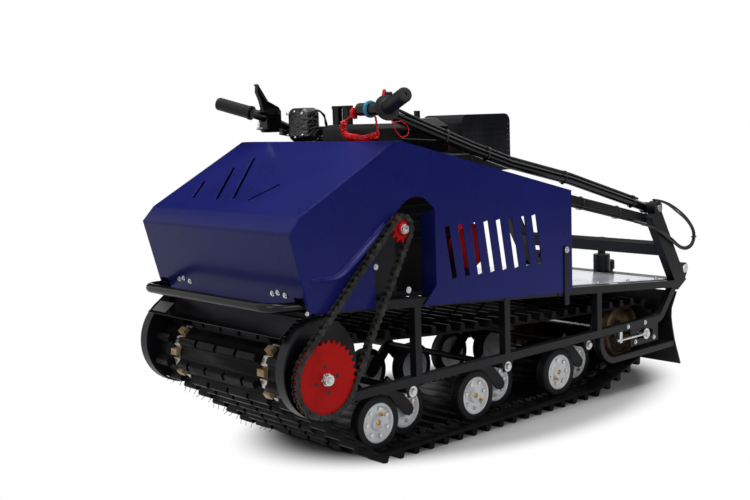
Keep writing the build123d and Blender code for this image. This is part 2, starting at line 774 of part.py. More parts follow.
# Bogies
wheel_disc_radius = 48.0
tyre_width = 30.0
outer_wheel_gap = 14.0
inner_wheel_gap = 4.0
outer_wheel_y = window_row_y + outer_wheel_gap
inner_wheel_y = window_row_y - inner_wheel_gap - tyre_width
arm_plate = 8.0
pivot_rise = 71.0
pivot_diameter = 18.0
stub_diameter = 16.0
bracket_thickness = 5.0
bracket_half = 30.0
bracket_foot_share = 0.45
bracket_drop = 13.0
discs, tyres, arms, pivots, brackets, stubs = [], [], [], [], [], []
arm_low = (inner_wheel_y + tyre_width + outer_wheel_y) / 2 - arm_plate / 2
for k in range(bogie_count):
    front = front_roller_x - k * bogie_pitch
    rear = front - bogie_stagger
    middle = (front + rear) / 2
    pivot_z = roller_z + pivot_rise
    for x, y in ((front, outer_wheel_y), (rear, inner_wheel_y)):
        discs.append(disc(x, roller_z, wheel_disc_radius, y, y + tyre_width, some_sides))
        tyre_ring = RegularPolygon(tyre_radius, some_sides) - RegularPolygon(wheel_disc_radius, some_sides)
        tyres.append(side(Pos(x, roller_z) * tyre_ring, y, y + tyre_width))
    arm = strip([(rear, roller_z), (middle, pivot_z), (front, roller_z)], 2 * stub_diameter)
    for x in (rear, front):
        arm += Pos(x, roller_z) * RegularPolygon(stub_diameter, few_sides)
    arm += Pos(middle, pivot_z) * RegularPolygon(pivot_diameter, few_sides)
    arm -= Pos(middle, pivot_z) * RegularPolygon(pivot_diameter / 2, few_sides)
    arms.append(side(arm, arm_low, arm_low + arm_plate))
    stubs.append(disc(front, roller_z, stub_diameter / 2, arm_low + arm_plate, outer_wheel_y, few_sides))
    stubs.append(disc(rear, roller_z, stub_diameter / 2, inner_wheel_y + tyre_width, arm_low, few_sides))
    pivots.append(disc(middle, pivot_z, pivot_diameter / 2, -frame_in, frame_in, few_sides))
    plate_top = lower_rail_z + tube / 2
    foot = bracket_foot_share * bracket_half
    bracket = polygon([
        (middle - bracket_half, plate_top), (middle + bracket_half, plate_top),
        (middle + foot, pivot_z - bracket_drop), (middle - foot, pivot_z - bracket_drop),
    ])
    bracket -= Pos(middle, pivot_z) * RegularPolygon(pivot_diameter / 2, few_sides)
    brackets.append(side(bracket, frame_in - bracket_thickness, frame_in))
write("roller_discs", *[both(s) for s in discs])
write("roller_tyres", *[both(s) for s in tyres])
write("bogie_arms", *[both(s) for s in arms])
write("roller_stubs", *[both(s) for s in stubs])
write("bogie_shafts", *pivots)
write("bogie_brackets", *[both(s) for s in brackets])

# Hitch post
post_radius = 26.0
post_low_z = tail_beam_z + tail_beam_height / 2
post_top_z = 347.0
neck_radius = 12.0
neck_top_z = 400.0
knob_radius = 20.0
knob_z = 297.0
hitch = Pos(tail_beam_x, 0, (post_low_z + post_top_z) / 2) * Cylinder(post_radius, post_top_z - post_low_z)
hitch += Pos(tail_beam_x, 0, (post_top_z + neck_top_z) / 2) * Cylinder(neck_radius, neck_top_z - post_top_z)
write("hitch_post", hitch)

# Line of the boom's arms
arm_inset = 19.0
arm_y = upright_in - arm_inset
knee_x = 412.0
knee_z = 812.0
knee_inset = 11.0
grip_end_x = 455.0
grip_end_z = 846.0
grip_reach = 108.0
knee = (knee_x, arm_y - knee_inset, knee_z)
grip_end = (grip_end_x, arm_y + grip_reach, grip_end_z)
# bends between hinge and knee: share of the way forward and of the rise
arm_shares = ((0.346, 0.34), (0.585, 0.527), (0.731, 0.68), (0.899, 0.873))
arm_bends = [
    (hinge_x + forward * (knee_x - hinge_x), arm_y, hinge_z + up * (knee_z - hinge_z)) for forward, up in arm_shares
]
arm_line = [(hinge_x, arm_y, hinge_z), *arm_bends, knee, grip_end]
bar_share = 0.88
cross_bar_x = arm_bends[2][0] + bar_share * (arm_bends[3][0] - arm_bends[2][0])
cross_bar_z = arm_bends[2][2] + bar_share * (arm_bends[3][2] - arm_bends[2][2])

# Engine, filter and muffler
bed_thickness = 5.0
bed_front_x = 480.0
bed_rear_x = 40.0


def bed_z(x):
    """Top of the engine bed, which lies on the top rails."""
    return rail_z(x) + (tube / 2 + running_gap + bed_thickness) / cos(rail_slope)


bed_line = [(x, bed_z(x) - bed_thickness / 2 / cos(rail_slope)) for x in (bed_rear_x, bed_front_x)]
bed_half = hood_in - jamb_depth - running_gap
write("engine_bed", side(strip(bed_line, bed_thickness), -bed_half, bed_half))
engine_front_x = 385.0
engine_rear_x = 60.0
engine_left_gap = 63.0
engine_right_gap = 43.0
engine_left_y = arm_y - engine_left_gap
engine_right_y = engine_right_gap - arm_y
engine_headroom = 55.0
engine_top_z = cross_bar_z - arm_tube / 2 - engine_headroom
engine_outline = [
    (engine_rear_x, bed_z(engine_rear_x)), (engine_front_x, bed_z(engine_front_x)),
    (engine_front_x, engine_top_z), (engine_rear_x, engine_top_z),
]
write("engine_block", side(polygon(engine_outline), engine_right_y, engine_left_y))
carrier_front_x = countershaft_x + carrier_half
carrier_rear_x = countershaft_x - carrier_half
carrier_outline = polygon([
    (carrier_rear_x, bed_z(carrier_rear_x)), (carrier_front_x, bed_z(carrier_front_x)),
    (carrier_front_x, small_z + carrier_half), (carrier_rear_x, small_z + carrier_half),
])
carrier_outline -= Pos(countershaft_x, small_z) * Circle(countershaft_diameter / 2 + running_gap)
write("countershaft_carrier", side(carrier_outline, carrier_y - carrier_thickness, carrier_y))
filter_length = 110.0
filter_width = 120.0
filter_height = 92.0
filter_edge = 22.0
filter_rear_x = 21.0
wing_nut_radius = 9.0
wing_nut_height = 20.0
filter_top = engine_top_z + filter_height
air_filter = block(
    filter_rear_x, filter_rear_x + filter_length, -filter_width / 2, filter_width / 2, engine_top_z, filter_top
)
air_filter = chamfer(air_filter.faces().sort_by(Axis.Z)[-1].edges(), filter_edge)
wing_nut = RegularPolygon(wing_nut_radius, axle_sides)
filter_middle = Pos(filter_rear_x + filter_length / 2, 0, filter_top)
write("air_filter", air_filter + filter_middle * extrude(wing_nut, wing_nut_height))
engine_cover_rear_x = 310.0
engine_cover_right_y = -18.0
engine_cover_reach = 6.0
engine_cover_left_y = engine_left_y + engine_cover_reach
engine_cover_height = 84.0
cover = block(
    engine_cover_rear_x, engine_front_x, engine_cover_right_y, engine_cover_left_y,
    engine_top_z, engine_top_z + engine_cover_height,
)
write("engine_cover", chamfer(cover.faces().sort_by(Axis.Z)[-1].edges(), filter_edge / 2))
fan_x = 100.0
fan_z = 470.0
fan_radius = 58.0
fan_depth = 24.0
write("fan_housing", disc(fan_x, fan_z, fan_radius, engine_left_y, engine_left_y + fan_depth, many_sides))
muffler_front_x = -51.0
muffler_length = 194.0
muffler_left_y = 40.0
muffler_width = 147.0
muffler_low_z = 640.0
muffler_top_z = 796.0
muffler_x = muffler_front_x - muffler_length / 2
muffler_y = muffler_left_y - muffler_width / 2
muffler = block(
    muffler_front_x - muffler_length, muffler_front_x, muffler_left_y - muffler_width, muffler_left_y,
    muffler_low_z, muffler_top_z,
)
write("muffler", chamfer(muffler.edges().filter_by(Axis.Y).sort_by(Axis.Z)[-2:], filter_edge))
exhaust_diameter = 35.0
exhaust_drop = 60.0
exhaust_z = muffler_low_z - exhaust_drop
write("exhaust_pipe", pipe(
    [(engine_rear_x, muffler_y, exhaust_z), (muffler_x, muffler_y, exhaust_z), (muffler_x, muffler_y, muffler_low_z)],
    exhaust_diameter, [exhaust_diameter], some_sides,
))

# Boom
bush_radius = 16.0
arm_radius = arm_tube / 2
arm_bend = 60.0
knee_bend = 28.0
boom = pipe(arm_line, arm_tube, [arm_bend, arm_bend, arm_bend, arm_bend, knee_bend], few_sides)
boom += disc(hinge_x, hinge_z, bush_radius, arm_y - arm_radius, upright_in - running_gap)
boom -= disc(hinge_x, hinge_z, hinge_bore, arm_y - tube, upright_in)
write("boom_arms", both(boom))
cross_bar = disc(cross_bar_x, cross_bar_z, arm_radius, -arm_y, arm_y, some_sides)
write("boom_cross_bar", cross_bar - nodes["boom_arms"])
pin_radius = hinge_bore - running_gap
pin_head = 10.0
pin_head_depth = 6.0
pin_in = arm_y - arm_radius - running_gap
hinge_pin = disc(hinge_x, hinge_z, pin_radius, pin_in - pin_head_depth, frame_half_width + pin_head_depth)
hinge_pin += disc(hinge_x, hinge_z, pin_head, frame_half_width, frame_half_width + pin_head_depth, some_sides)
hinge_pin += disc(hinge_x, hinge_z, pin_head, pin_in - pin_head_depth, pin_in, some_sides)
write("hinge_pins", both(hinge_pin))

grip_length = 104.0
grip_diameter = 34.0
grip_overhang = 4.0
outward = (Vector(*grip_end) - Vector(*knee)).normalized()
grip_plane = Plane(Vector(*grip_end) + outward * grip_overhang, z_dir=outward * -1)
flange_radius = 30.0
flange_thickness = 4.0
grip = grip_plane * extrude(RegularPolygon(grip_diameter / 2, some_sides), grip_length + grip_overhang)
flange = Pos(0, 0, grip_length + grip_overhang - flange_thickness)
grip += grip_plane * flange * extrude(RegularPolygon(flange_radius, some_sides), flange_thickness)
write("grips", both(grip - nodes["boom_arms"]))

box_length = 62.0
box_width = 74.0
box_height = 86.0
box_gap = 90.0
box_y = box_gap - arm_y
box_drop = 25.0
box_edge = 12.0
box_rear_x = cross_bar_x + arm_radius
box_low_z = cross_bar_z - box_drop
control_box = block(
    box_rear_x, box_rear_x + box_length, box_y - box_width / 2, box_y + box_width / 2, box_low_z, box_low_z + box_height
)
write("control_box", chamfer(control_box.edges(), box_edge))

socket_radius = 13.0
socket_cap_radius = 15.0
socket_cap_height = 9.0
socket_height = 52.0
socket_gap = 113.0
socket_left_y = box_y + socket_gap
socket_pitch = 40.0
sockets = []
for y in (socket_left_y, socket_left_y - socket_pitch):
    foot = Pos(cross_bar_x, y, cross_bar_z + arm_radius)
    socket = foot * extrude(RegularPolygon(socket_radius, some_sides), socket_height)
    cap = RegularPolygon(socket_cap_radius, some_sides)
    socket += foot * Pos(0, 0, socket_height - socket_cap_height) * extrude(cap, socket_cap_height)
    sockets.append(socket + foot * Box(arm_tube, arm_tube, arm_tube) - nodes["boom_cross_bar"])
write("sockets", *sockets)

# Throttle, stop switch and cables
throttle_rear_x = 354.0
throttle_front_x = 402.0
throttle_in = 24.0
throttle_out = 12.0
throttle_low_z = 768.0
throttle_high_z = 832.0
throttle_edge = 9.0
lever_width = 12.0
lever_tip_x = 431.0
lever_tip_z = 892.0
lever_foot_width = 16.0
lever_tip_width = 7.0
throttle_y = -arm_y + throttle_in
throttle = block(throttle_rear_x, throttle_front_x, -arm_y - throttle_out, throttle_y, throttle_low_z, throttle_high_z)
throttle = chamfer(throttle.edges().filter_by(Axis.Y), throttle_edge)
lever_low = throttle_y - lever_width
lever = polygon([
    (throttle_front_x - throttle_edge - lever_foot_width, throttle_high_z - throttle_edge),
    (throttle_front_x - throttle_edge, throttle_high_z - throttle_edge),
    (lever_tip_x, lever_tip_z), (lever_tip_x - lever_tip_width, lever_tip_z),
])
write("throttle", throttle + side(lever, lever_low, throttle_y) - nodes["boom_arms"])

switch_radius = 15.0
switch_x = 402.0
switch_z = 818.0
switch_reach = 101.0
ring_reach = 67.0
switch_inner_y = arm_y - switch_reach
ring_y = arm_y - ring_reach
ring_width = 8.0
ring_radius = 20.0
switch = disc(switch_x, switch_z, switch_radius, switch_inner_y, arm_y, some_sides)
write("stop_switch", switch - nodes["boom_arms"] - nodes["grips"])
ring = RegularPolygon(ring_radius, some_sides) - RegularPolygon(switch_radius, some_sides)
write("switch_ring", side(Pos(switch_x, switch_z) * ring, ring_y, ring_y + ring_width))

lanyard_diameter = 14.0
# how far each point of the lanyard lies in from the arm, and its height
lanyard_route = ((108.5, 812.0), (151.0, 804.0), (151.0, 752.0), (93.0, 744.0), (39.0, 756.0), (47.0, 802.7))
lanyard_points = [(switch_x, arm_y - inward, z) for inward, z in lanyard_route]
write("lanyard", cord(lanyard_points, lanyard_diameter, axle_sides) - nodes["stop_switch"])

cable_diameter = 6.0
cable_radius = cable_diameter / 2
cable_gap = 0.6
arm_rise = atan2(arm_bends[0][2] - hinge_z, arm_bends[0][0] - hinge_x)
cable_lift = (arm_radius + cable_radius + cable_gap) / cos(arm_rise)
cable_start_share = 0.12
cable_start = [start + cable_start_share * (end - start) for start, end in zip(arm_line[0], arm_line[1])]
boom_cable = [(x, y, z + cable_lift) for x, y, z in (cable_start, *arm_bends)]
write("boom_cables", pipe(boom_cable, cable_diameter, [arm_bend, arm_bend, arm_bend], few_sides))
stay_cable_y = upright_in - stay_tube / 2
stay_drop = (stay_tube / 2 + cable_radius + running_gap) / cos(atan2(stay_front_z - stay_rear_z, stay_front_x - stay_rear_x))
stay_cable_shares = (0.16, 0.95)
stay_cable = [
    (
        stay_rear_x + share * (stay_front_x - stay_rear_x), stay_cable_y,
        stay_rear_z + share * (stay_front_z - stay_rear_z) - stay_drop,
    )
    for share in stay_cable_shares
]
write("stay_cables", pipe(stay_cable, cable_diameter, [], few_sides))
cable_points = [
    (-596.0, 272.0, 535.6), (-636.0, 276.0, 531.0), (-694.0, 282.0, 507.0), (-752.0, 288.0, 468.0),
    (-786.0, 292.0, 424.0), (-768.0, 294.0, 384.0), (-712.0, 295.0, 378.0), (-650.0, 295.0, 415.0),
    (-582.0, 295.0, 453.0), (-550.0, 268.0, 470.0), (-533.5, 249.5, 477.0),
]
write("cable_loop", cord(cable_points, cable_diameter, axle_sides))

# The origin is on the ground below the middle of the whole machine
free_cords = ("cable_loop",)
boxes = [solid.bounding_box() for name, solids in nodes.items() if name not in free_cords for solid in solids]
origin_x = (min(box.min.X for box in boxes) + max(box.max.X for box in boxes)) / 2
print("origin_x", origin_x, "small_z", small_z, "idler_x", idler_x)
for name, solids in nodes.items():
    placed = [Pos(-origin_x, 0, 0) * solid for solid in solids]
    whole = placed[0] if len(placed) == 1 else Compound(children=placed)
    whole.label = name
    export_step(whole, f"parts/{name}.step")
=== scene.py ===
import json
from math import acos, asin, atan2, cos, hypot, pi, radians, sin

import bmesh
import bpy
from mathutils import Matrix, Vector

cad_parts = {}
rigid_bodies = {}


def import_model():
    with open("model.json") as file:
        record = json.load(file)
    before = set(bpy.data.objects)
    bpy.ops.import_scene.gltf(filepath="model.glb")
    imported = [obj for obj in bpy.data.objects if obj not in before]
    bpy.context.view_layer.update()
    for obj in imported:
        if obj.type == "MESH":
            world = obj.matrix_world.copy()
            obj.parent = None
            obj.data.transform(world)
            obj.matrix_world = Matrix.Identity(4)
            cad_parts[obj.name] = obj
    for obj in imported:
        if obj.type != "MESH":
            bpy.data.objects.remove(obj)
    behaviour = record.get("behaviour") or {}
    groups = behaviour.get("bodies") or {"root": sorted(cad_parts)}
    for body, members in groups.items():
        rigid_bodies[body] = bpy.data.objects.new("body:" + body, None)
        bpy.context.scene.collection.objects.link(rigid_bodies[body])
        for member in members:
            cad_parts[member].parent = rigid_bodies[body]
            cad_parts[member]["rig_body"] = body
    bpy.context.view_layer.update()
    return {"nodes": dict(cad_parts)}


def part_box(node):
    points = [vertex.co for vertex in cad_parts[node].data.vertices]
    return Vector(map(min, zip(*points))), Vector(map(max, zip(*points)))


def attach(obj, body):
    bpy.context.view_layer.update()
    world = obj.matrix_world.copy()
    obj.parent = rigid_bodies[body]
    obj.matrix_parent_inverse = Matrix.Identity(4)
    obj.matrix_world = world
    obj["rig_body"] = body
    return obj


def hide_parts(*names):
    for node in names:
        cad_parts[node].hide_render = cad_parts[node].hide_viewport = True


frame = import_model()

# Studio
# A white sweep under soft lamps, as for a catalogue picture. The camera stands ahead of the left
# front corner, a little above the boom, and looks down along the machine.


class Value:
    """A number or a colour that a finish works out over the surface; arithmetic on it adds Math nodes."""

    def __init__(self, finish, socket):
        self.finish, self.socket = finish, socket

    def __add__(self, other):
        return self.finish.math("ADD", self, other)

    def __mul__(self, other):
        return self.finish.math("MULTIPLY", self, other)


class Finish:
    """The nodes of a material on one Principled shader, or those of the world on its background."""

    def __init__(self, name="", world=None):
        self.material = world or bpy.data.materials.new(name)
        self.material.use_nodes = True
        self.tree = self.material.node_tree
        self.shader = self.tree.nodes["Background" if world else "Principled BSDF"]

    def node(self, kind, settings, sockets, out=0):
        """Adds any node: its settings first, then the values or links of its sockets."""
        node = self.tree.nodes.new(kind)
        for name, setting in settings.items():
            if name == "stops":
                ramp = node.color_ramp.elements
                while len(ramp) < len(setting):
                    ramp.new(1.0)
                for element, (place, shade) in zip(ramp, setting):
                    element.position, element.color = place, (shade, shade, shade, 1)
            else:
                setattr(node, name, setting)
        self.feed(node, sockets)
        return Value(self, node.outputs[out])

    def feed(self, node, sockets):
        for name, value in sockets.items():
            if isinstance(value, Value):
                self.tree.links.new(value.socket, node.inputs[name])
            else:
                node.inputs[name].default_value = value

    def math(self, operation, first, second):
        return self.node("ShaderNodeMath", {"operation": operation}, {0: first, 1: second})

    def mix(self, mask, first, second):
        """The first colour where the mask is 0, the second where it is 1."""
        return self.node("ShaderNodeMix", {"data_type": "RGBA"}, {0: mask, 6: first, 7: second}, 2)

    def noise(self, scale, detail=2.0, low=0.0, high=1.0, stretch=(1, 1, 1)):
        """Noise over the machine's own coordinates, in cycles a metre; its low becomes 0, its high 1."""
        place = self.node("ShaderNodeTexCoord", {}, {}, 3)
        if stretch != (1, 1, 1):
            place = self.node("ShaderNodeVectorMath", {"operation": "MULTIPLY"}, {0: place, 1: stretch})
        noise = self.node("ShaderNodeTexNoise", {}, {"Vector": place, "Scale": scale, "Detail": detail})
        return noise if (low, high) == (0.0, 1.0) else self.ramp(noise, (low, 0.0), (high, 1.0))

    def ramp(self, value, *stops):
        return self.node("ShaderNodeValToRGB", {"stops": stops}, {0: value})

    def bump(self, height, distance, strength):
        return self.node("ShaderNodeBump", {}, {"Strength": strength, "Distance": distance, "Height": height})

    def done(self, **sockets):
        """Feeds the shader's sockets, named with underscores, and hands over the material."""
        for name, value in sockets.items():
            self.feed(self.shader, {name.replace("_", " ").title().replace("Ior", "IOR"): value})
        return self.material


def rgb(*screen):
    """A colour read as it shows on screen, 0 to 255, in the shader's linear units."""
    shares = [level / 255 for level in screen]
    return (*[c / 12.92 if c <= 0.04045 else ((c + 0.055) / 1.055) ** 2.4 for c in shares], 1.0)


def two_tone(name, mask, first, second, polish, spread, dulled=(), grain=(), stretch=(1, 1, 1), **sockets):
    """Two screen colours by a mask of noise. Roughness rises from polish by that mask, or by a noise
    of its own. The grain in relief is noise with a depth in metres and a strength."""
    finish = Finish(name)
    cloud = finish.noise(*mask, stretch=stretch)
    if grain:
        *pattern, depth, strength = grain
        sockets["normal"] = finish.bump(finish.noise(*pattern, stretch=stretch), depth, strength)
    sockets["roughness"] = (finish.noise(*dulled) if dulled else cloud) * spread + polish
    return finish.done(base_color=finish.mix(cloud, rgb(*first), rgb(*second)), **sockets)


def background_rays(finish):
    """1 for the rays that show the background: the camera's, and those that metal or glass sends on."""
    shown = finish.node("ShaderNodeLightPath", {}, {}, "Is Camera Ray")
    for ray in ("Is Glossy Ray", "Is Transmission Ray"):
        shown = finish.math("MAXIMUM", shown, finish.node("ShaderNodeLightPath", {}, {}, ray))
    return shown


white = (1, 1, 1, 1)
floor_reach = 40.0
footprint, footprint_shift = (1.25, 2.1, 1.0), (-0.16, 0.0, 0.0)
clear_reach, white_reach = 0.74, 0.98


def sweep_finish():
    finish = Finish("white_sweep")
    place = finish.node("ShaderNodeTexCoord", {}, {}, 3)
    place = finish.node("ShaderNodeVectorMath", {"operation": "MULTIPLY_ADD"},
                        {0: place, 1: footprint, 2: footprint_shift})
    reach = finish.node("ShaderNodeVectorMath", {"operation": "LENGTH"}, {0: place}, 1)
    far = finish.node("ShaderNodeMapRange", {"interpolation_type": "SMOOTHSTEP"},
                      {"Value": reach, "From Min": clear_reach, "From Max": white_reach})
    grain = finish.ramp(finish.noise(3.0), (0.3, 0.55), (0.7, 0.6))
    finish.done(base_color=grain, roughness=0.9, specular_ior_level=0.0)
    lit = Value(finish, finish.shader.outputs[0])
    glow = finish.node("ShaderNodeEmission", {}, {"Color": white, "Strength": 1.0})
    mixed = finish.node("ShaderNodeMixShader", {}, {0: far * background_rays(finish), 1: lit, 2: glow})
    finish.tree.links.new(mixed.socket, finish.tree.nodes["Material Output"].inputs["Surface"])
    return finish.material


def linked(name, data):
    thing = bpy.data.objects.new(name, data)
    bpy.context.scene.collection.objects.link(thing)
    return thing


def aimed(thing, place, way):
    """Stands a thing in its place, with its own z axis along way."""
    thing.matrix_world = Matrix.Translation(place) @ way.to_track_quat("Z", "Y").to_matrix().to_4x4()
    return thing


def stage_sheet(name, finish, place, aim, width, height):
    """A flat sheet on the stage, facing the aim."""
    mesh = bpy.data.meshes.new(name)
    corners = [(x * width / 2, y * height / 2, 0) for x, y in ((-1, -1), (1, -1), (1, 1), (-1, 1))]
    mesh.from_pydata(corners, [], [(0, 1, 2, 3)])
    mesh.materials.append(finish)
    thing = aimed(linked(name, mesh), place, Vector(aim) - Vector(place))
    return thing


stage_sheet("floor", sweep_finish(), (0, 0, 0), (0, 0, 1), 2 * floor_reach, 2 * floor_reach)


def flag_cloth():
    finish = Finish("flag_cloth")
    weave = finish.ramp(finish.noise(5.0), (0.3, 0.008), (0.7, 0.014))
    return finish.done(base_color=weave, roughness=1.0, specular_ior_level=0.0)


# dark flags that only the paint's reflections see
for name, place, aim, width, height in (
    ("flag_rear_left", (-3.0, 3.2, 1.3), (0.2, 0.3, 0.5), 5.0, 2.6),
    ("flag_right", (-1.2, -4.2, 2.6), (0.4, 0.0, 0.6), 5.0, 3.4),
):
    flag = stage_sheet(name, flag_cloth(), place, aim, width, height)
    flag.visible_camera = flag.visible_diffuse = flag.visible_shadow = flag.visible_transmission = False

# soft boxes; level is the light that reaches the aim, 1 for a fully lit white
for name, place, aim, width, height, level in (
    ("top_box", (0.1, 0.5, 3.4), (0.1, 0.0, 0.4), 2.0, 1.6, 0.86),
    ("front_box", (3.6, 1.2, 2.4), (0.2, 0.0, 0.4), 1.6, 1.6, 0.14),
    ("side_box", (-0.4, 4.2, 2.2), (0.0, 0.0, 0.4), 3.0, 1.2, 0.21),
    ("far_box", (-1.8, -3.2, 2.6), (0.0, 0.0, 0.4), 2.4, 1.2, 0.14),
):
    away = Vector(place) - Vector(aim)
    light = bpy.data.lights.new(name, "AREA")
    light.shape, light.size, light.size_y = "RECTANGLE", width, height
    light.energy = level * pi**2 * away.length_squared
    aimed(linked(name, light), place, away).visible_glossy = name != "far_box"

ambient_level, background_level = 0.09, 1.0
world = bpy.data.worlds.new("studio")
bpy.context.scene.world = world
sky = Finish(world=world)
strength = sky.node("ShaderNodeMix", {}, {0: background_rays(sky), 2: ambient_level, 3: background_level})
sky.feed(sky.shader, {"Color": white, "Strength": strength})

camera_place = Matrix.Translation((2.1349, 2.1162, 0.808))
camera_yaw, camera_pitch, camera_roll = radians(47.97), radians(6.95), radians(-1.91)
for angle, axis in ((pi / 2 + camera_yaw, "Z"), (pi / 2 - camera_pitch, "X"), (camera_roll, "Z")):
    camera_place = camera_place @ Matrix.Rotation(angle, 4, axis)
picture_width, focal_pixels = 750, 1120.1
camera_data = bpy.data.cameras.new("camera")
camera_data.lens = focal_pixels / picture_width * camera_data.sensor_width
camera = linked("camera", camera_data)
camera.matrix_world = camera_place
bpy.context.scene.camera = camera
bpy.context.scene.view_settings.view_transform = "Standard"


# Cable at the tail
# Two black control cables leave the boom's hinge in a free loop behind the left upright and come
# back to the stay tube. A nylon tie holds them side by side at the end of the loop.
drive_x, drive_z = 668.0, 249.0
low_corner, high_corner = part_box("drive_axle")
zero_x = (low_corner.x + high_corner.x) / 2 - drive_x / 1000
to_scene = Matrix.Translation((zero_x, 0, 0)) @ Matrix.Scale(0.001, 4)


def frames(route):
    """Point, direction and two crosswise directions along a route, which turn as little as they can."""
    route = [Vector(point) for point in route]
    across = None
    for n, point in enumerate(route):
        ahead = (route[min(n + 1, len(route) - 1)] - route[max(n - 1, 0)]).normalized()
        across = ahead.orthogonal() if across is None else across
        across = (across - ahead * across.dot(ahead)).normalized()
        yield point, ahead, across, ahead.cross(across)


class Shape:
    """The faces of one piece, in the drawing's millimetres. Each form adds to it and hands it on."""

    def __init__(self):
        self.mesh = bmesh.new()

    def add(self, points, faces, place=Matrix()):
        corners = [self.mesh.verts.new(place @ Vector(point)) for point in points]
        for face in faces:
            self.mesh.faces.new([corners[n] for n in face])
        return self

    def prism(self, outline, low, high, place=Matrix()):
        """An outline in x and z, thick from low to high across the machine."""
        count = len(outline)
        faces = [tuple(range(count)), tuple(range(2 * count - 1, count - 1, -1))]
        faces += [(n, (n + 1) % count, (n + 1) % count + count, n + count) for n in range(count)]
        return self.add([(x, y, z) for y in (low, high) for x, z in outline], faces, place)

    def turned(self, profile, place=Matrix(), sides=24, closed=False):
        """A profile of radius and distance along y, turned about the y axis."""
        rings, points, faces = [], [], []
        for radius, across in profile:
            count = sides if radius else 1
            rings.append([len(points) + k % count for k in range(sides)])
            turns = [2 * pi * k / sides for k in range(count)]
            points += [(radius * cos(turn), across, radius * sin(turn)) for turn in turns]
        for near, far in [*zip(rings, rings[1:]), *([(rings[-1], rings[0])] if closed else [])]:
            for k in range(sides):
                faces.append(tuple(dict.fromkeys((near[k], near[k - 1], far[k - 1], far[k]))))
        return self.add(points, [face for face in faces if len(face) > 2], place)

    def tube(self, route, radius, sides=12):
        points, faces = [], []
        for point, ahead, across, up in frames(route):
            turns = [2 * pi * k / sides for k in range(sides)]
            points += [point + radius * (cos(turn) * across + sin(turn) * up) for turn in turns]
        for k in range(0, len(points) - sides, sides):
            for n in range(sides):
                after = (n + 1) % sides
                faces.append((k + n, k + after, k + after + sides, k + n + sides))
        return self.add(points, [*faces, tuple(range(sides)), tuple(range(len(points) - sides, len(points)))])

    def box(self, low, high, place=Matrix()):
        (x0, y0, z0), (x1, y1, z1) = low, high
        return self.prism([(x0, z0), (x1, z0), (x1, z1), (x0, z1)], y0, y1, place)

    def piece(self, name, finish, body="chassis", stands_for=(), sharp=35.0, edge=0.0):
        """Makes the piece in the scene's metres and lets it ride on its body."""
        bmesh.ops.recalc_face_normals(self.mesh, faces=self.mesh.faces)
        mesh = bpy.data.meshes.new(name)
        self.mesh.to_mesh(mesh)
        self.mesh.free()
        mesh.transform(to_scene)
        mesh.polygons.foreach_set("use_smooth", [True] * len(mesh.polygons))
        mesh.set_sharp_from_angle(angle=radians(sharp))
        mesh.materials.append(finish)
        thing = linked(name, mesh)
        if edge:
            round_edges(thing, edge, sharp)
        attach(thing, body)
        if stands_for:
            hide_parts(*stands_for)
        return thing


def round_edges(thing, width, sharp):
    """Rounds off the edges, as a real sheet, tube or casting has them, so that they catch the light."""
    edges = thing.modifiers.new("edges", "BEVEL")
    edges.width, edges.segments, edges.limit_method = width / 1000, 2, "ANGLE"
    edges.angle_limit, edges.harden_normals = radians(sharp), True


def loop_rubber():
    return two_tone("loop_rubber", (90.0, 2.0), (9, 9, 11), (17, 17, 19), 0.24, 0.1, dulled=(300.0, 2.0),
                    specular_ior_level=0.4)


loop_route = (
    (-596.0, 272.0, 535.6), (-636.0, 276.0, 531.0), (-694.0, 282.0, 507.0), (-752.0, 288.0, 468.0),
    (-786.0, 292.0, 424.0), (-768.0, 294.0, 384.0), (-712.0, 295.0, 378.0), (-650.0, 295.0, 415.0),
    (-582.0, 295.0, 453.0), (-550.0, 268.0, 470.0), (-533.5, 249.5, 477.0),
)
cable_diameter, cable_sides = 6.0, 10
cable_radius = cable_diameter / 2
cable_black = loop_rubber()
loop_curve = bpy.data.curves.new("cable_loop_near", "CURVE")
loop_curve.dimensions = "3D"
spline = loop_curve.splines.new("NURBS")
spline.points.add(len(loop_route) - 1)
for point, place in zip(spline.points, loop_route):
    point.co = (*(to_scene @ Vector(place)), 1)
spline.order_u = 3
spline.use_endpoint_u = True
loop_curve.resolution_u = 12
near_cable = linked("cable_loop_near", loop_curve)
traced = bpy.data.meshes.new_from_object(near_cable)
loop_line = [to_scene.inverted() @ vertex.co for vertex in traced.vertices]
loop_length = sum((b - a).length for a, b in zip(loop_line, loop_line[1:])) / 1000
loop_curve.bevel_depth = cable_radius / 1000
loop_curve.bevel_resolution = 4
loop_curve.use_fill_caps = True
loop_curve.materials.append(cable_black)
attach(near_cable, "chassis")
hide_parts("cable_loop")
# the second cable leaves and joins at the same clamps, and lies inside the first between them
strand_gap, parting_share = 7.4, 1 / 6
hub = sum(loop_line, Vector()) / len(loop_line)
inner_line = []
for n, point in enumerate(loop_line):
    share = n / len(loop_line)
    parted = min(1.0, share / parting_share, (1 - share) / parting_share)
    inner_line.append(point + (hub - point).normalized() * strand_gap * parted)
far_cable = Shape().tube(inner_line, cable_radius, cable_sides).piece("cable_loop_far", cable_black)
tie_share = 0.42
tie_place = Matrix.Translation(loop_line[int(len(loop_line) * tie_share)])
loop_tie = Shape().box((-4.5, -4.5, -2), (12, 4.5, 2), tie_place)
loop_tie.box((-6, -1.5, -0.7), (-4, 1.5, 0.7), tie_place)
loop_tie = loop_tie.piece("cable_loop_tie", cable_black, edge=0.6)
to_scene @ Vector(loop_route[0])


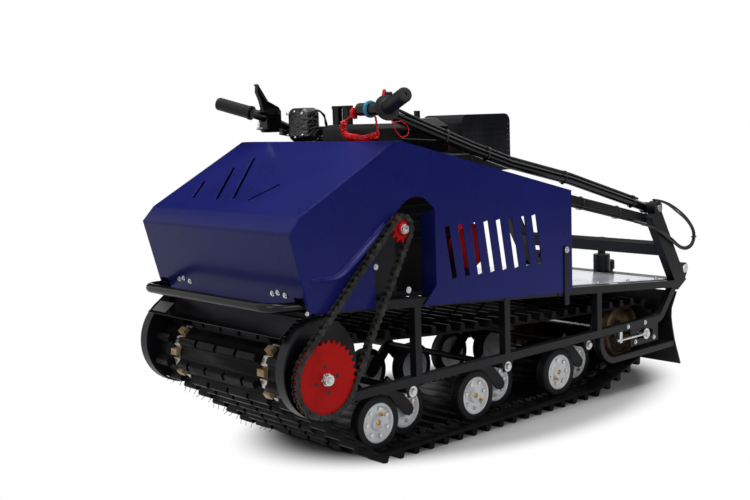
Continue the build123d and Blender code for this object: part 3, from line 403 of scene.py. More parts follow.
# Track
# One endless rubber belt with cross lugs, moulded in one. Two rows of windows take the wheels'
# teeth, with a pressed steel clip on each web between them. Thin moulding whiskers stand on new lugs.
class Loop:
    """A closed run round wheels (x, z, radius of the pitch line), travelled forward over the top."""

    def __init__(self, wheels, bow=None):
        self.runs, normals = [], []
        for (ax, az, ar), (bx, bz, br) in zip(wheels, wheels[1:] + wheels[:1]):
            tilt = asin((br - ar) / hypot(bx - ax, bz - az))
            normals.append(atan2(bz - az, bx - ax) + tilt + pi / 2)
        leave, arrive = normals[-1], normals[-1]
        if bow:
            (ax, az, ar), (bx, bz, br) = wheels[-1], wheels[0]
            gap, ra, rb = hypot(bx - ax, bz - az), bow + ar, bow + br
            leave = atan2(bz - az, bx - ax) + acos((ra**2 + gap**2 - rb**2) / (2 * ra * gap))
            centre = (ax + ra * cos(leave), az + ra * sin(leave))
            arrive = atan2(centre[1] - bz, centre[0] - bx)
        for i, (x, z, r) in enumerate(wheels):
            first = arrive if i == 0 else normals[i - 1]
            last = leave if i == len(wheels) - 1 else normals[i]
            last = first - (first - last) % (2 * pi)
            self.runs.append((x, z, r, first, last))
            if i < len(wheels) - 1 or not bow:
                nx, nz, nr = wheels[(i + 1) % len(wheels)]
                way_x, way_z = cos(last), sin(last)
                self.runs.append((x + r * way_x, z + r * way_z, nx + nr * way_x, nz + nr * way_z))
        if bow:
            self.runs.append((*centre, -bow, leave + pi, arrive + pi))
        self.lengths = [self.run_length(*run) for run in self.runs]
        self.length = sum(self.lengths)

    @staticmethod
    def run_length(x, z, *rest):
        if len(rest) == 2:
            return hypot(rest[0] - x, rest[1] - z)
        radius, first, last = rest
        return abs(radius * (last - first))

    def at(self, station, grow=0.0):
        """Place in x and z and direction of travel, moved outward by grow."""
        station %= self.length
        for run, length in zip(self.runs, self.lengths):
            if station <= length:
                break
            station -= length
        if len(run) == 4:
            ux, uz = (run[2] - run[0]) / length, (run[3] - run[1]) / length
            return run[0] + ux * station - uz * grow, run[1] + uz * station + ux * grow, atan2(uz, ux)
        x, z, r, first, last = run
        angle = first + (last - first) * station / length
        side = 1 if r > 0 else -1
        reach = abs(r) + grow * side
        return x + reach * cos(angle), z + reach * sin(angle), angle - side * pi / 2


def middle_of(low, high):
    """The middle of a box between two corners of the scene, in the drawing's millimetres."""
    return to_scene.inverted() @ ((low + high) / 2)


track_pitch, lug_height, belt_thickness, bottom_bow = 50.5, 17.5, 5.0, 15000.0
track_half, window_row, window_half, window_rim = 250.0, 174.0, 15.0, 2.0
drive_teeth, idler_teeth = 8, 10
front_roller_x, bogie_pitch, bogie_stagger, tyre_radius, roller_z = 441.8, 335.5, 132.0, 66.0, 88.8
idler_x, idler_z = middle_of(*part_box("idler_axle")).x, 156.0
roller_line = tyre_radius + belt_thickness / 2 + 0.3
rear_roller_x = front_roller_x - 2 * bogie_pitch - bogie_stagger
track_line = Loop([
    (drive_x, drive_z, drive_teeth * track_pitch / (2 * pi)), (front_roller_x, roller_z, roller_line),
    (rear_roller_x, roller_z, roller_line), (idler_x, idler_z, idler_teeth * track_pitch / (2 * pi)),
], bottom_bow)
lug_count = round(track_line.length / track_pitch)


def track_rubber():
    finish = Finish("track_rubber")
    dust = finish.noise(16.0, 5.0, 0.45, 0.75)
    specks = finish.noise(420.0, 2.0, 0.66, 0.72)
    shade = finish.mix(dust, rgb(8, 8, 9), rgb(22, 22, 22))
    return finish.done(base_color=finish.mix(specks * dust * 0.5, shade, rgb(92, 88, 82)),
                       roughness=dust * 0.25 + 0.45, specular_ior_level=0.1,
                       normal=finish.bump(finish.noise(700.0), 0.0002, 0.5))


inner_edge, outer_edge = window_row - window_half - window_rim, window_row + window_half + window_rim
window_sides = [row + edge for row in (-window_row, window_row) for edge in (-window_half, window_half)]
columns = (-track_half, *window_sides, track_half)
# along each pitch, three cells with windows and two across the web under the lug
pitch_steps = (-15.25, -5.0, 5.0, 15.25, track_pitch / 2)
stations = [k * track_pitch + step for k in range(lug_count) for step in pitch_steps]
grid = []
for station in stations:
    x, z, _ = track_line.at(station)
    grid += [(x, y, z) for y in columns]
wide = len(columns)
cells = []
for row in range(len(stations)):
    here, after = row * wide, (row + 1) % len(stations) * wide
    for column in range(wide - 1):
        window = column in (1, 3) and row % len(pitch_steps) < 3
        if not window:
            cells.append((here + column, here + column + 1, after + column + 1, after + column))
rubber = track_rubber()
belt = Shape().add(grid, cells).piece("track_belt", rubber, stands_for=("track",), sharp=60.0)
skin = belt.modifiers.new("thickness", "SOLIDIFY")
skin.thickness, skin.offset = belt_thickness / 1000, 0.0

foot, tip = belt_thickness / 2, belt_thickness / 2 + lug_height
ledge_high = foot + 6.2
ledge_outline = [(-10.0, foot - 1), (-9.4, foot + 5), (-8.2, ledge_high)]
block_outline = [(-9.0, foot + 5), (-6.6, tip - 3), (-4.8, tip)]
for outline in (ledge_outline, block_outline):
    outline += [(-along, out) for along, out in reversed(outline)]
ledges = ((-track_half, -outer_edge), (-inner_edge, inner_edge), (outer_edge, track_half))


def both_halves(*blocks):
    return [(-high, -low) for low, high in blocks] + list(blocks)


edge_block, middle_block = (197.0, 249.0), (-32.0, 32.0)
block_rows = (
    both_halves((42.0, 104.0), (114.0, 152.0), edge_block) + [middle_block],
    both_halves((5.0, 74.0), (84.0, 152.0), edge_block),
)


def on_track(station, offsets):
    return [track_line.at(station + along, out)[:2] for along, out in offsets]


whisker_length, whisker_lean, whisker_gap = 13.0, 0.5, 3.0
whisker_shares = (0.1, 0.45, 0.9)
whisker_rear_x, whisker_inner_y = 250.0, -150.0
clip_half, clip_cap, leg_half = 10.5, 2.2, 10.0
upright = Matrix.Rotation(pi / 2, 4, "X")
lugs, whiskers, clips = Shape(), Shape(), Shape()
for k in range(lug_count):
    station = (k + 0.5) * track_pitch
    for low, high in ledges:
        lugs.prism(on_track(station, ledge_outline), low, high)
    for low, high in block_rows[k % 2]:
        lugs.prism(on_track(station, block_outline), low, high)
        x, z, _ = track_line.at(station, tip + whisker_length)
        if z > 1.0 and x > whisker_rear_x and low < whisker_inner_y:
            for n, share in enumerate(whisker_shares):
                x, z, turn = track_line.at(station + whisker_gap * (n - 1), tip - 0.5)
                root = Matrix.Translation((x, low + share * (high - low), z))
                lean = Matrix.Rotation(-turn + whisker_lean * sin(3 * k + 7 * n + low), 4, "Y")
                whiskers.turned([(1.0, 0), (0.7, whisker_length)], root @ lean @ upright, 4)
    heading = track_line.at(station)[2]
    on_belt = sin(heading) < 0.3 and cos(heading) > 0.9
    depth = -foot - (11.0 if on_belt else 1.5)
    cap = ((-clip_half, foot), (-9.0, foot + clip_cap), (9.0, foot + clip_cap), (clip_half, foot))
    leg = ((9.6, depth), (11.4, depth), (11.4, foot + 1.5), (9.6, foot + 1.5))
    for row in (-window_row, window_row):
        clips.prism(on_track(station, cap), row - 13, row + 13)
        for end in (-1, 1):
            shank = on_track(station, [(end * along, out) for along, out in leg])
            clips.prism(shank, row - leg_half, row + leg_half)
lugs.piece("track_lugs", rubber, sharp=50.0)
whiskers.piece("track_whiskers", rubber)


def clip_steel():
    return two_tone("clip_steel", (120.0, 3.0), (150, 148, 140), (205, 203, 196), 0.2, 0.25, metallic=1.0)


clips.piece("track_clips", clip_steel(), edge=0.4)


# Track wheels and axles
# The drive and the idler wheels are cast plastic with rounded teeth, keyed on a hexagon axle in
# front and free on a round one behind. Zinc plated washers and nuts close both axles.
nodes = frame["nodes"]


def eased(finish, width, *names, sharp=25.0):
    """Packed solids with their edges rounded off; each piece stands for its solid."""
    for name in names:
        shape = Shape()
        shape.mesh.from_mesh(nodes[name].data)
        drawn = shape.mesh
        bmesh.ops.transform(drawn, matrix=to_scene.inverted(), verts=drawn.verts)
        bmesh.ops.remove_doubles(drawn, verts=drawn.verts, dist=0.01)
        bmesh.ops.dissolve_limit(drawn, angle_limit=radians(1.5), verts=drawn.verts, edges=drawn.edges)
        shape.piece(name + "_eased", finish, nodes[name]["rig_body"], (name,), sharp, width)


def cast_plastic():
    return two_tone("cast_plastic", (24.0, 4.0, 0.4, 0.7), (206, 176, 132), (140, 108, 72), 0.4, 0.15,
                    grain=(300.0, 2.0, 0.0002, 0.3))


def soiled_plastic():
    return two_tone("soiled_plastic", (18.0, 5.0, 0.3, 0.6), (150, 124, 88), (58, 46, 34), 0.5, 0.2,
                    grain=(300.0, 2.0, 0.0002, 0.3), specular_ior_level=0.25)


def zinc_plate():
    return two_tone("zinc_plate", (70.0, 3.0), (176, 178, 180), (216, 216, 214), 0.16, 0.2, metallic=1.0)


zinc = zinc_plate()
eased(cast_plastic(), 2.0, "drive_wheels")
eased(soiled_plastic(), 1.6, "idler_wheels")
eased(zinc, 0.6, "drive_axle", "idler_axle", "countershaft", "roller_stubs", "hinge_pins", "tension_screws")

# Final drive
# A roller chain steps the engine's countershaft down to the drive axle. Both sprockets are cut
# from plate and painted red; the chain is oiled steel, riveted link by link.
chain_pitch, chain_y = 15.875, 305.0
big_teeth, small_teeth = 32, 11
countershaft_x, countershaft_z = 434.0, middle_of(*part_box("countershaft")).z
big_radius, small_radius = big_teeth * chain_pitch / (2 * pi), small_teeth * chain_pitch / (2 * pi)
chain_line = Loop([(drive_x, drive_z, big_radius), (countershaft_x, countershaft_z, small_radius)])
link_count = round(chain_line.length / chain_pitch)
pin_radius, roller_radius, plate_end, plate_waist = 2.7, 5.0, 7.4, 4.9
pin_half, roller_half = 9.0, 4.4


def chain_steel():
    return two_tone("chain_steel", (60.0, 3.0, 0.4, 0.7), (27, 26, 25), (62, 58, 54), 0.4, 0.2, metallic=0.6)


def arc(x, z, radius, angles):
    """Points of a round stretch in x and z, at the given angles in degrees."""
    return [(x + radius * cos(radians(a)), z + radius * sin(radians(a))) for a in angles]


link_outline = [*arc(0, 0, plate_end, range(50, 311, 37)), (chain_pitch / 2, -plate_waist),
                *arc(chain_pitch, 0, plate_end, range(-130, 131, 37)), (chain_pitch / 2, plate_waist)]
roller_profile = [(0, -pin_half), (pin_radius, -pin_half)]
roller_profile += [(pin_radius, -roller_half), (roller_radius, -roller_half)]
roller_profile += [(radius, -across) for radius, across in reversed(roller_profile)]
links, rollers = Shape(), Shape()
pins = [chain_line.at(k * chain_pitch) for k in range(link_count)]
for k, (x, z, _) in enumerate(pins):
    nx, nz, _ = pins[(k + 1) % link_count]
    place = Matrix.Translation((x, chain_y, z)) @ Matrix.Rotation(-atan2(nz - z, nx - x), 4, "Y")
    near, far = ((4.7, 6.3), (6.6, 8.2))[k % 2]
    for low, high in ((near, far), (-far, -near)):
        links.prism(link_outline, low, high, place)
    rollers.turned(roller_profile, place, 10)
chain_grey = chain_steel()
links.piece("chain_links", chain_grey, stands_for=("drive_chain",), edge=0.3)
rollers.piece("chain_rollers", chain_grey)


def sprocket_red():
    return two_tone("sprocket_red", (14.0, 5.0, 0.5, 0.8), (186, 20, 18), (130, 12, 11), 0.5, 0.15,
                    specular_ior_level=0.12)


red = sprocket_red()
tooth_rise, tooth_flat_shares = 4.2, (0.43, 0.57)
sprocket_half, hub_reach, hole_circle, hole_radius = 3.6, 17.0, 30.0, 4.8


def sprocket(name, teeth, radius, x, z, hub_profile, sides, closed):
    """A disc with rounded gullets about the chain's rollers, a small flat on each tooth, and a hub."""
    first = next(atan2(pz - z, px - x) for px, pz, _ in pins if abs(hypot(px - x, pz - z) - radius) < 0.2)
    step, outline = 2 * pi / teeth, []
    for k in range(teeth):
        angle = first + k * step
        bends = [angle + pi + radians(turn) for turn in (70, 35, 0, -35, -70)]
        seat_x, seat_z = radius * cos(angle), radius * sin(angle)
        for bend in bends:
            outline.append((seat_x + roller_radius * cos(bend), seat_z + roller_radius * sin(bend)))
        tips = [angle + share * step for share in tooth_flat_shares]
        outline += [((radius + tooth_rise) * cos(tip), (radius + tooth_rise) * sin(tip)) for tip in tips]
    place = Matrix.Translation((x, chain_y, z))
    wheel = Shape().prism(outline, -sprocket_half, sprocket_half, place)
    wheel.turned(hub_profile, place, sides, closed)
    wheel.piece(name + "_cut", red, stands_for=(name,), edge=0.5)


big_hub = [(22, -hub_reach), (22, -4), (15, -4), (15, -hub_reach)]
sprocket("big_sprocket", big_teeth, big_radius, drive_x, drive_z, big_hub, 32, True)
# dark discs of the chain's steel, a little proud of the big sprocket's face, stand in for its four bolt
# holes: painted shade in place of open holes
holes, hole_face = Shape(), sprocket_half + 0.3
for x, z in arc(drive_x, drive_z, hole_circle, range(80, 440, 90)):
    hole = Matrix.Translation((x, chain_y, z))
    holes.turned([(0, hole_face), (hole_radius, hole_face), (hole_radius, 0), (0, 0)], hole, 16)
holes.piece("sprocket_hole_shade", chain_grey)
small_hub = [(0, 10), (13, 10), (15, 8), (15, -hub_reach), (0, -hub_reach)]
sprocket("small_sprocket", small_teeth, small_radius, countershaft_x, countershaft_z, small_hub, 24, False)


def facing(x, y, z, way):
    """A place with its y axis turned to point along way."""
    turn = Vector((0, 1, 0)).rotation_difference(Vector(way))
    return Matrix.Translation((x, y, z)) @ turn.to_matrix().to_4x4()


washer_high, head_share, shank_share = 1.2, 0.42, 0.36


fasteners = Shape()


def bolt(spot, way, across, washer, shape=fasteners):
    """A washer, a hexagon head and the rounded end above it, from a spot along way."""
    place = facing(*spot, way)
    shape.turned([(0, -0.5), (washer, -0.5), (washer, washer_high), (0, washer_high)], place, 20)
    hexagon = arc(0, 0, across / 2 / cos(pi / 6), range(0, 360, 60))
    shape.prism(hexagon, washer_high, washer_high + across * head_share, place)
    shape.turned([(across * head_share, washer_high + across * 0.4), (across * shank_share, across * 0.55),
                  (0, across * 0.58)], place, 16)


leftward, rightward, upward = (0, 1, 0), (0, -1, 0), (0, 0, 1)
bolt((countershaft_x, chain_y + 10, countershaft_z), leftward, 13, 11)
bolt((drive_x, chain_y + 13, drive_z), leftward, 12, 12)

# Frame
# Two side frames of square steel tube, welded and powder coated satin black, with cross members
# between them, hoop guards round the front wheels and lasered plates for the axles.
def satin_black():
    return two_tone("satin_black", (10.0, 4.0, 0.4, 0.75), (13, 14, 18), (23, 24, 28), 0.34, 0.14,
                    grain=(900.0, 2.0, 0.00015, 0.35), specular_ior_level=0.2)


coat = satin_black()
eased(coat, 2.0, "side_frame_left", "side_frame_right", "cross_members", "tail_beam", "tail_cross_tube",
      "stay_tubes")
eased(coat, 0.7, "bearing_plates", "tension_plates", "panel_spacers", "hood_straps", "countershaft_carrier",
      "engine_bed")
eased(coat, 2.4, "guard_loops", "boom_cross_bar", "hitch_post")
frame_half, plate_half = 287.0, 282.5
for side in (-1, 1):
    # the idler's nut on its slotted plate, and the screws that hold the bearing plates in the hoops
    bolt((idler_x, side * (frame_half + 0.5), idler_z), (0, side, 0), 15, 15.5)
    for x, z, half in ((-581.0, 139.0, plate_half), (-490.0, 139.0, plate_half), (-449.0, 189.5, frame_half),
                       (-531.0, 189.5, frame_half)):
        bolt((x, side * half, z), (0, side, 0), 7, 6.5)

# Bogies
# Six pairs of rocking arms, cut from plate, swing on shafts under the lower rails. Each arm carries
# a pressed white disc wheel with a rubber tyre at either end, greased through a brass nipple.
def tyre_rubber():
    return two_tone("tyre_rubber", (40.0, 4.0, 0.45, 0.75), (18, 18, 20), (36, 36, 38), 0.5, 0.2,
                    grain=(600.0, 2.0, 0.0002, 0.4), specular_ior_level=0.2)


def white_enamel():
    return two_tone("white_enamel", (30.0, 5.0, 0.5, 0.8), (240, 242, 245), (196, 197, 198), 0.3, 0.2)


def brass():
    return two_tone("brass", (150.0, 2.0), (176, 126, 52), (204, 156, 76), 0.22, 0.2, dulled=(90.0, 2.0),
                    metallic=1.0)


eased(coat, 1.6, "bogie_arms", "bogie_brackets", "bogie_shafts")
disc_radius, half_tyre, tyre_round = 48.0, 15.0, 6.0
shoulder = arc(tyre_radius - tyre_round, half_tyre - tyre_round, tyre_round, (0, 30, 60, 90))
tyre_profile = [(disc_radius, -half_tyre), *[(radius, -across) for radius, across in reversed(shoulder)],
                *shoulder, (disc_radius, half_tyre)]
face_profile = [(48, 13), (46, 14.6), (42, 14.6), (39.5, 12), (37, 8), (21, 7), (19, 8.5), (17.5, 12.5),
                (15, 13.5), (8, 13.5), (7, 12), (0, 12)]
disc_profile = [(radius, -across) for radius, across in reversed(face_profile)] + face_profile
nipple_profile = [(0, 0), (4, 0), (4, 3), (2.6, 4), (2.6, 8), (3.2, 9), (3.2, 11), (0, 13)]
cap_profile = [(0, 4), (6, 4), (6, 5.5), (3.4, 7), (0, 7)]
disc_bolt_count, disc_bolt_circle, nipple_circle, web_face = 7, 33.0, 22.0, 8.0
outer_wheel_y, inner_wheel_y, arm_face, pivot_z = 203.0, 155.0, 267.0, 159.8
tyres, discs, disc_bolts, nipples = Shape(), Shape(), Shape(), Shape()
for k in range(3):
    front = front_roller_x - k * bogie_pitch
    for side in (-1, 1):
        way = (0, side, 0)
        for x, y in ((front, outer_wheel_y), (front - bogie_stagger, inner_wheel_y)):
            place = Matrix.Translation((x, side * y, roller_z))
            tyres.turned(tyre_profile, place, 48, True)
            discs.turned(disc_profile, place, 40)
            web_y, first_angle = side * (y + web_face), 360 * 0.3 * k / disc_bolt_count
            around = [first_angle + 360 * n / disc_bolt_count for n in range(disc_bolt_count)]
            for spot_x, spot_z in arc(x, roller_z, disc_bolt_circle, around):
                bolt((spot_x, web_y, spot_z), way, 8, 5.6, disc_bolts)
            spot_x, spot_z = arc(x, roller_z, nipple_circle, [126 + 90 * k])[0]
            nipples.turned(nipple_profile, facing(spot_x, web_y, spot_z, way), 12)
            nipples.turned(cap_profile, facing(x, web_y, roller_z, way), 20)
        bolt((front - bogie_stagger / 2, side * arm_face, pivot_z), way, 13, 13)
tyres.piece("roller_tyres_round", tyre_rubber(), stands_for=("roller_tyres",))
discs.piece("roller_discs_pressed", white_enamel(), stands_for=("roller_discs",))
disc_bolts.piece("roller_disc_bolts", zinc)
nipples.piece("grease_nipples", brass())

# Bumper and splash plate
# A round tube bent round the nose and welded into the rails, and a gloss black plate below it
# that turns the snow away. A small blank plate of dull metal is riveted to the plate's end.
def bent(points, radii, step=radians(7)):
    """A route whose corners are rounded to the given radii."""
    points = [Vector(point) for point in points]
    line = [points[0]]
    for before, here, after, radius in zip(points, points[1:], points[2:], radii):
        into, out = (here - before).normalized(), (after - here).normalized()
        half = into.angle(out) / 2
        inward, ahead = (out - into).normalized(), (out + into).normalized()
        middle = here + inward * (radius / cos(half))
        chords = max(2, round(2 * half / step))
        for n in range(chords + 1):
            turn = half * (2 * n / chords - 1)
            line.append(middle - inward * (radius * cos(turn)) + ahead * (radius * sin(turn)))
    return [*line, points[-1]]


def gloss_black():
    return two_tone("gloss_black", (9.0, 3.0), (6, 6, 8), (12, 12, 14), 0.12, 0.1, dulled=(14.0, 3.0),
                    specular_ior_level=0.24)


gloss = gloss_black()
bumper_radius = 11.0
bumper_side = [(626.0, 275.7, 393.4), (640.0, 275.7, 394.5), (692.0, 266.0, 406.0), (766.0, 252.0, 409.0)]
bumper_route = bumper_side + [(x, -y, z) for x, y, z in reversed(bumper_side)]
bumper = Shape().tube(bent(bumper_route, [40, 60, 45, 45, 60, 40]), bumper_radius, 20)
bumper.piece("bumper_bent", gloss, stands_for=("bumper",))
eased(gloss, 0.5, "splash_plate")


def plain_plate():
    return two_tone("plain_plate", (200.0, 2.0), (104, 106, 108), (136, 138, 138), 0.3, 0.2, stretch=(1, 20,
                    1), metallic=0.6)


plate_down, plate_out = Vector((48.0, 0, -36.65)).normalized(), Vector((36.65, 0, 48.0)).normalized()
lie_flat = Matrix((plate_down, plate_out, plate_down.cross(plate_out))).transposed().to_4x4()
blank = Shape().box((-16, 0, -30), (16, 0.9, 30), Matrix.Translation((736.0, -224.0, 360.2)) @ lie_flat)
blank.piece("blank_plate", plain_plate(), edge=0.3)

# Cowl
# The hood and the two side panels are folded and lasered from two millimetre sheet, painted deep
# blue and screwed together along the hood's flanges. An inner panel closes the chain's opening.
def blue_enamel():
    return two_tone("blue_enamel", (5.0, 4.0, 0.35, 0.7), (26, 31, 101), (31, 36, 112), 0.26, 0.05,
                    grain=(240.0, 1.0, 0.00015, 0.3), specular_ior_level=0.1, coat_weight=0.02,
                    coat_roughness=0.05)


blue = blue_enamel()
eased(blue, 0.9, "hood", "side_panel_left", "side_panel_right", "chain_panel")
# the lower edge of the chain's opening is flared outward
flare_reach, flare_wide, flare_steps, flare_rows, panel_face = 12.0, 9.0, 24, 4, 291.8
lip_route = bent(((688, 0, 457), (610, 0, 457), (470, 0, 561)), [62])
chords = [(b - a).length for a, b in zip(lip_route, lip_route[1:])]
lip = []
for n in range(flare_steps + 1):
    share = n / flare_steps
    left, k = share * sum(chords), 0
    while k < len(chords) - 1 and left > chords[k]:
        left -= chords[k]
        k += 1
    ahead = (lip_route[k + 1] - lip_route[k]).normalized()
    here, inward = lip_route[k] + ahead * left, Vector((ahead.z, 0, -ahead.x))
    swell = sin(pi * min(1.0, 1.15 * (1 - share) + 0.02)) ** 0.7
    for row in range(flare_rows + 1):
        t = row / flare_rows
        spot = here + inward * flare_wide * (1 - t)
        lip.append((spot.x, panel_face + flare_reach * swell * t**2, spot.z))
ring = flare_rows + 1
starts = [n * ring + row for n in range(flare_steps) for row in range(flare_rows)]
flare = Shape().add(lip, [(a, a + 1, a + 1 + ring, a + ring) for a in starts]).piece("opening_flare", blue)
flare_skin = flare.modifiers.new("thickness", "SOLIDIFY")
flare_skin.thickness, flare_skin.offset = 0.0016, 0.0
nose_way = (0.966, 0, -0.26)
for x, y, z in ((703, 177, 427), (704, 198, 431), (703, 222, 427),
                (703, -195, 427), (704, -175, 431), (702, -150, 425)):
    bolt((x, y, z), nose_way, 7, 6.5)
for x, y, z, size in ((701, 291.5, 394, 5), (402, 289.5, 406, 8), (-168, 295.5, 438, 9), (500, 289, 470, 7)):
    bolt((x, y, z), leftward, size, size * 0.95)
for x, y, z in ((-168, -295.5, 438), (-168, -295.5, 305), (60, -291.5, 345), (380, -291.5, 370)):
    bolt((x, y, z), rightward, 9, 8.5)
# dark blocks in the track's rubber finish behind the chin, with a flap at either end behind the notch for the
# bumper: painted shade that closes the gaps into the cowl
chin_shade = Shape().box((688.5, -287, 382.4), (694.5, 287, 393))
for low, high in ((-286, -228), (228, 286)):
    chin_shade.box((684, low, 384), (688.4, high, 428))
chin_shade.piece("chin_shade_blocks", rubber, edge=1.0)

# Engine
# A bought single-cylinder engine lies on a sheet bed, with its air cleaner, covers and a red fan
# housing on the flank. The silencer stands behind it in a perforated guard.
def engine_casting():
    return two_tone("engine_casting", (20.0, 2.0), (14, 14, 16), (28, 28, 30), 0.4, 0.2, dulled=(500.0,
                    2.0), grain=(500.0, 2.0, 0.0004, 0.5), specular_ior_level=0.16)


casting = engine_casting()
eased(casting, 2.5, "engine_block", "exhaust_pipe", "engine_cover")
eased(gloss, 4.0, "air_filter")
eased(red, 3.0, "fan_housing")
fins = Shape()
for k in range(9):
    fins.box((70, -196, 500 + 20 * k), (380, 184, 505 + 20 * k))
fins.piece("cooling_fins", casting, edge=1.0)

guard_x0, guard_x1, guard_y0, guard_y1, guard_z0, guard_z1 = -245.0, -51.0, -107.0, 40.0, 640.0, 796.0
guard_edge, punch_pitch, punch_radius = 20.0, 15.0, 1.6


def perforated(shape, corner, along, wide, high):
    """An upright wall of punched holes from one corner, wide in the direction along."""
    across, rows, up = round(wide / punch_pitch), round(high / punch_pitch), Vector((0, 0, 1))
    cell_along, cell_up = along * wide / across / 2, up * high / rows / 2
    square = ((1, 0), (1, 1), (0, 1), (-1, 1), (-1, 0), (-1, -1), (0, -1), (1, -1))
    round_hole = [punch_radius * (cos(k * pi / 4) * along + sin(k * pi / 4) * up) for k in range(8)]
    for i in range(across):
        for j in range(rows):
            middle = corner + cell_along * (2 * i + 1) + cell_up * (2 * j + 1)
            rim = [middle + cell_along * u + cell_up * v for u, v in square]
            faces = [(k, (k + 1) % 8, (k + 1) % 8 + 8, k + 8) for k in range(8)]
            shape.add(rim + [middle + spot for spot in round_hole], faces)


guard, wall_high = Shape(), guard_z1 - guard_edge - guard_z0
for y in (guard_y1, guard_y0):
    perforated(guard, Vector((guard_x0, y, guard_z0)), Vector((1, 0, 0)), guard_x1 - guard_x0, wall_high)
for x in (guard_x1, guard_x0):
    perforated(guard, Vector((x, guard_y0, guard_z0)), Vector((0, 1, 0)), guard_y1 - guard_y0, wall_high)
lid = arc(guard_x0 + guard_edge, guard_z1 - guard_edge, guard_edge, (180, 150, 120, 90))
lid += [(guard_x0 + guard_x1 - x, z) for x, z in reversed(lid)]
count = len(lid)
lid_faces = [(n, n + 1, n + 1 + count, n + count) for n in range(count - 1)]
lid_faces += [tuple(range(count)), tuple(range(count, 2 * count))]
guard.add([(x, y, z) for y in (guard_y0, guard_y1) for x, z in lid], lid_faces)
bmesh.ops.remove_doubles(guard.mesh, verts=guard.mesh.verts, dist=0.05)
guard = guard.piece("muffler_guard", coat, stands_for=("muffler",))
guard.data.shade_flat()
guard_skin = guard.modifiers.new("thickness", "SOLIDIFY")
guard_skin.thickness, guard_skin.offset = 0.0015, 0.0
can_profile = [(0, 4), (40, 4), (46, 10), (46, 176), (40, 182), (0, 182)]
can_place = facing(guard_x0 + 4, (guard_y0 + guard_y1) / 2, 712, (1, 0, 0))
Shape().turned(can_profile, can_place, 32).piece("silencer_can", casting)

# Deck and tail
# A load deck of pale sheet screwed over the rear of the rails, a rubber flap hung behind the track,
# and a hitch post on the tail beam for a sledge.
def deck_sheet():
    return two_tone("deck_sheet", (12.0, 5.0, 0.45, 0.8), (206, 212, 224), (184, 189, 200), 0.16, 0.15,
                    stretch=(1, 4, 1), coat_weight=0.3)


eased(deck_sheet(), 0.5, "deck_plate")
eased(tyre_rubber(), 1.2, "mud_flap")
rail_x, rail_z, rail_slope, deck_rise, screw_y = 640.0, 394.5, (394.5 - 281.0) / 1330.0, 13.4, 244.0
for x in (-230, -370, -510, -650):
    deck_z = rail_z + (x - rail_x) * rail_slope + deck_rise
    for side in (-1, 1):
        bolt((x, side * screw_y, deck_z), (-0.085, 0, 1), 7, 6)
tail_x, tail_z = -735.0, 322.0
bushing_profile = [(0, 0), (13, 0), (13, 3), (11, 5), (7, 5), (6, 4), (0, 4)]
for side in (-1, 1):
    fasteners.turned(bushing_profile, facing(tail_x, side * frame_half, tail_z, (0, side, 0)), 28)
pin_x, pin_foot_z = -762.0, 276.0
pin_profile = [(0, 0), (12, 0), (12, 4), (9, 7), (9, 16), (14, 19), (14, 44), (11, 48), (0, 48)]
hitch = Shape().turned(pin_profile, facing(pin_x, 0, pin_foot_z, upward), 24)
hitch.box((pin_x - 8, -18, 268), (-736, 18, 278))
hitch.box((pin_x - 8, -5, 296), (-740, 5, 304))
hitch.piece("hitch_pin", coat, edge=1.0)

# Boom
# Two bent steel tubes hinged on the uprights, joined by a cross bar under the controls. Two control
# cables run along the left one under nylon ties.
arm_y, arm_radius = 243.0, 12.5
hinge, knee, grip_end = (-600.0, arm_y, 512.0), (412.0, arm_y - 11, 812.0), (455.0, arm_y + 108, 846.0)
forward, rise = knee[0] - hinge[0], knee[2] - hinge[2]
bend_shares = ((0.346, 0.34), (0.585, 0.527), (0.731, 0.68), (0.899, 0.873))
arm_bends = [(hinge[0] + along * forward, arm_y, hinge[2] + up * rise) for along, up in bend_shares]
pivot_profile = [(0, -13), (14, -13), (16, -11), (16, 16.5), (14, 18.5), (0, 18.5)]
arms = Shape()
for side in (-1, 1):
    route = [(x, side * y, z) for x, y, z in (hinge, *arm_bends, knee, grip_end)]
    arms.tube(bent(route, [60, 60, 60, 60, 28]), arm_radius, 20)
    arms.turned(pivot_profile, facing(hinge[0], side * arm_y, hinge[2], (0, side, 0)), 28)
arms.piece("boom_arms_bent", gloss, "boom", ("boom_arms",))
lift = (arm_radius + 3.6) / cos(atan2(arm_bends[0][2] - hinge[2], arm_bends[0][0] - hinge[0]))
cable_start = Vector(hinge).lerp(Vector(arm_bends[0]), 0.12)
cable_end = (knee[0] - 30, knee[1] + 4, knee[2] - 9)
cables = Shape()
for shift in (-3.1, 3.1):
    route = [(x, y + shift, z + lift) for x, y, z in (cable_start, *arm_bends, cable_end)]
    cables.tube(bent(route, [60, 60, 60, 60]), cable_radius, cable_sides)
cables.piece("boom_cables_pair", cable_black, "boom", ("boom_cables",))
stay_cable = Shape().tube([(-530.2, 249.5, 478.3), (-116.2, 249.5, 575.1)], cable_radius, cable_sides)
stay_cable.piece("stay_cable_round", cable_black, "chassis", ("stay_cables",))

tie_half_wide, tie_half_high, tie_strap, tie_head, tie_squareness = 13.6, 16.6, 0.8, 3.0, 0.6


def tie(shape, middle, way, over):
    """A nylon tie pulled tight round a bar that runs along way; its head and cut tail lie over or under."""
    way = way.normalized()
    side_way = Vector((0, 1, 0))
    up = side_way.cross(way)
    hug = []
    for n in range(25):
        c, s = cos(2 * pi * n / 24), sin(2 * pi * n / 24)
        c, s = [abs(share) ** tie_squareness * (1 if share > 0 else -1) for share in (c, s)]
        hug.append(middle + tie_half_wide * c * side_way + tie_half_high * s * up)
    for shift in (-1.2, 0, 1.2):
        shape.tube([point + way * shift for point in hug], tie_strap, 6)
    head = middle + up * tie_half_high * over
    shape.box([-tie_head] * 3, [tie_head] * 3, Matrix.Translation(head))
    shape.box((-1, -1, -10), (1, 1, 0), Matrix.Translation(head + Vector((0, 0, 11 if over > 0 else -2))))


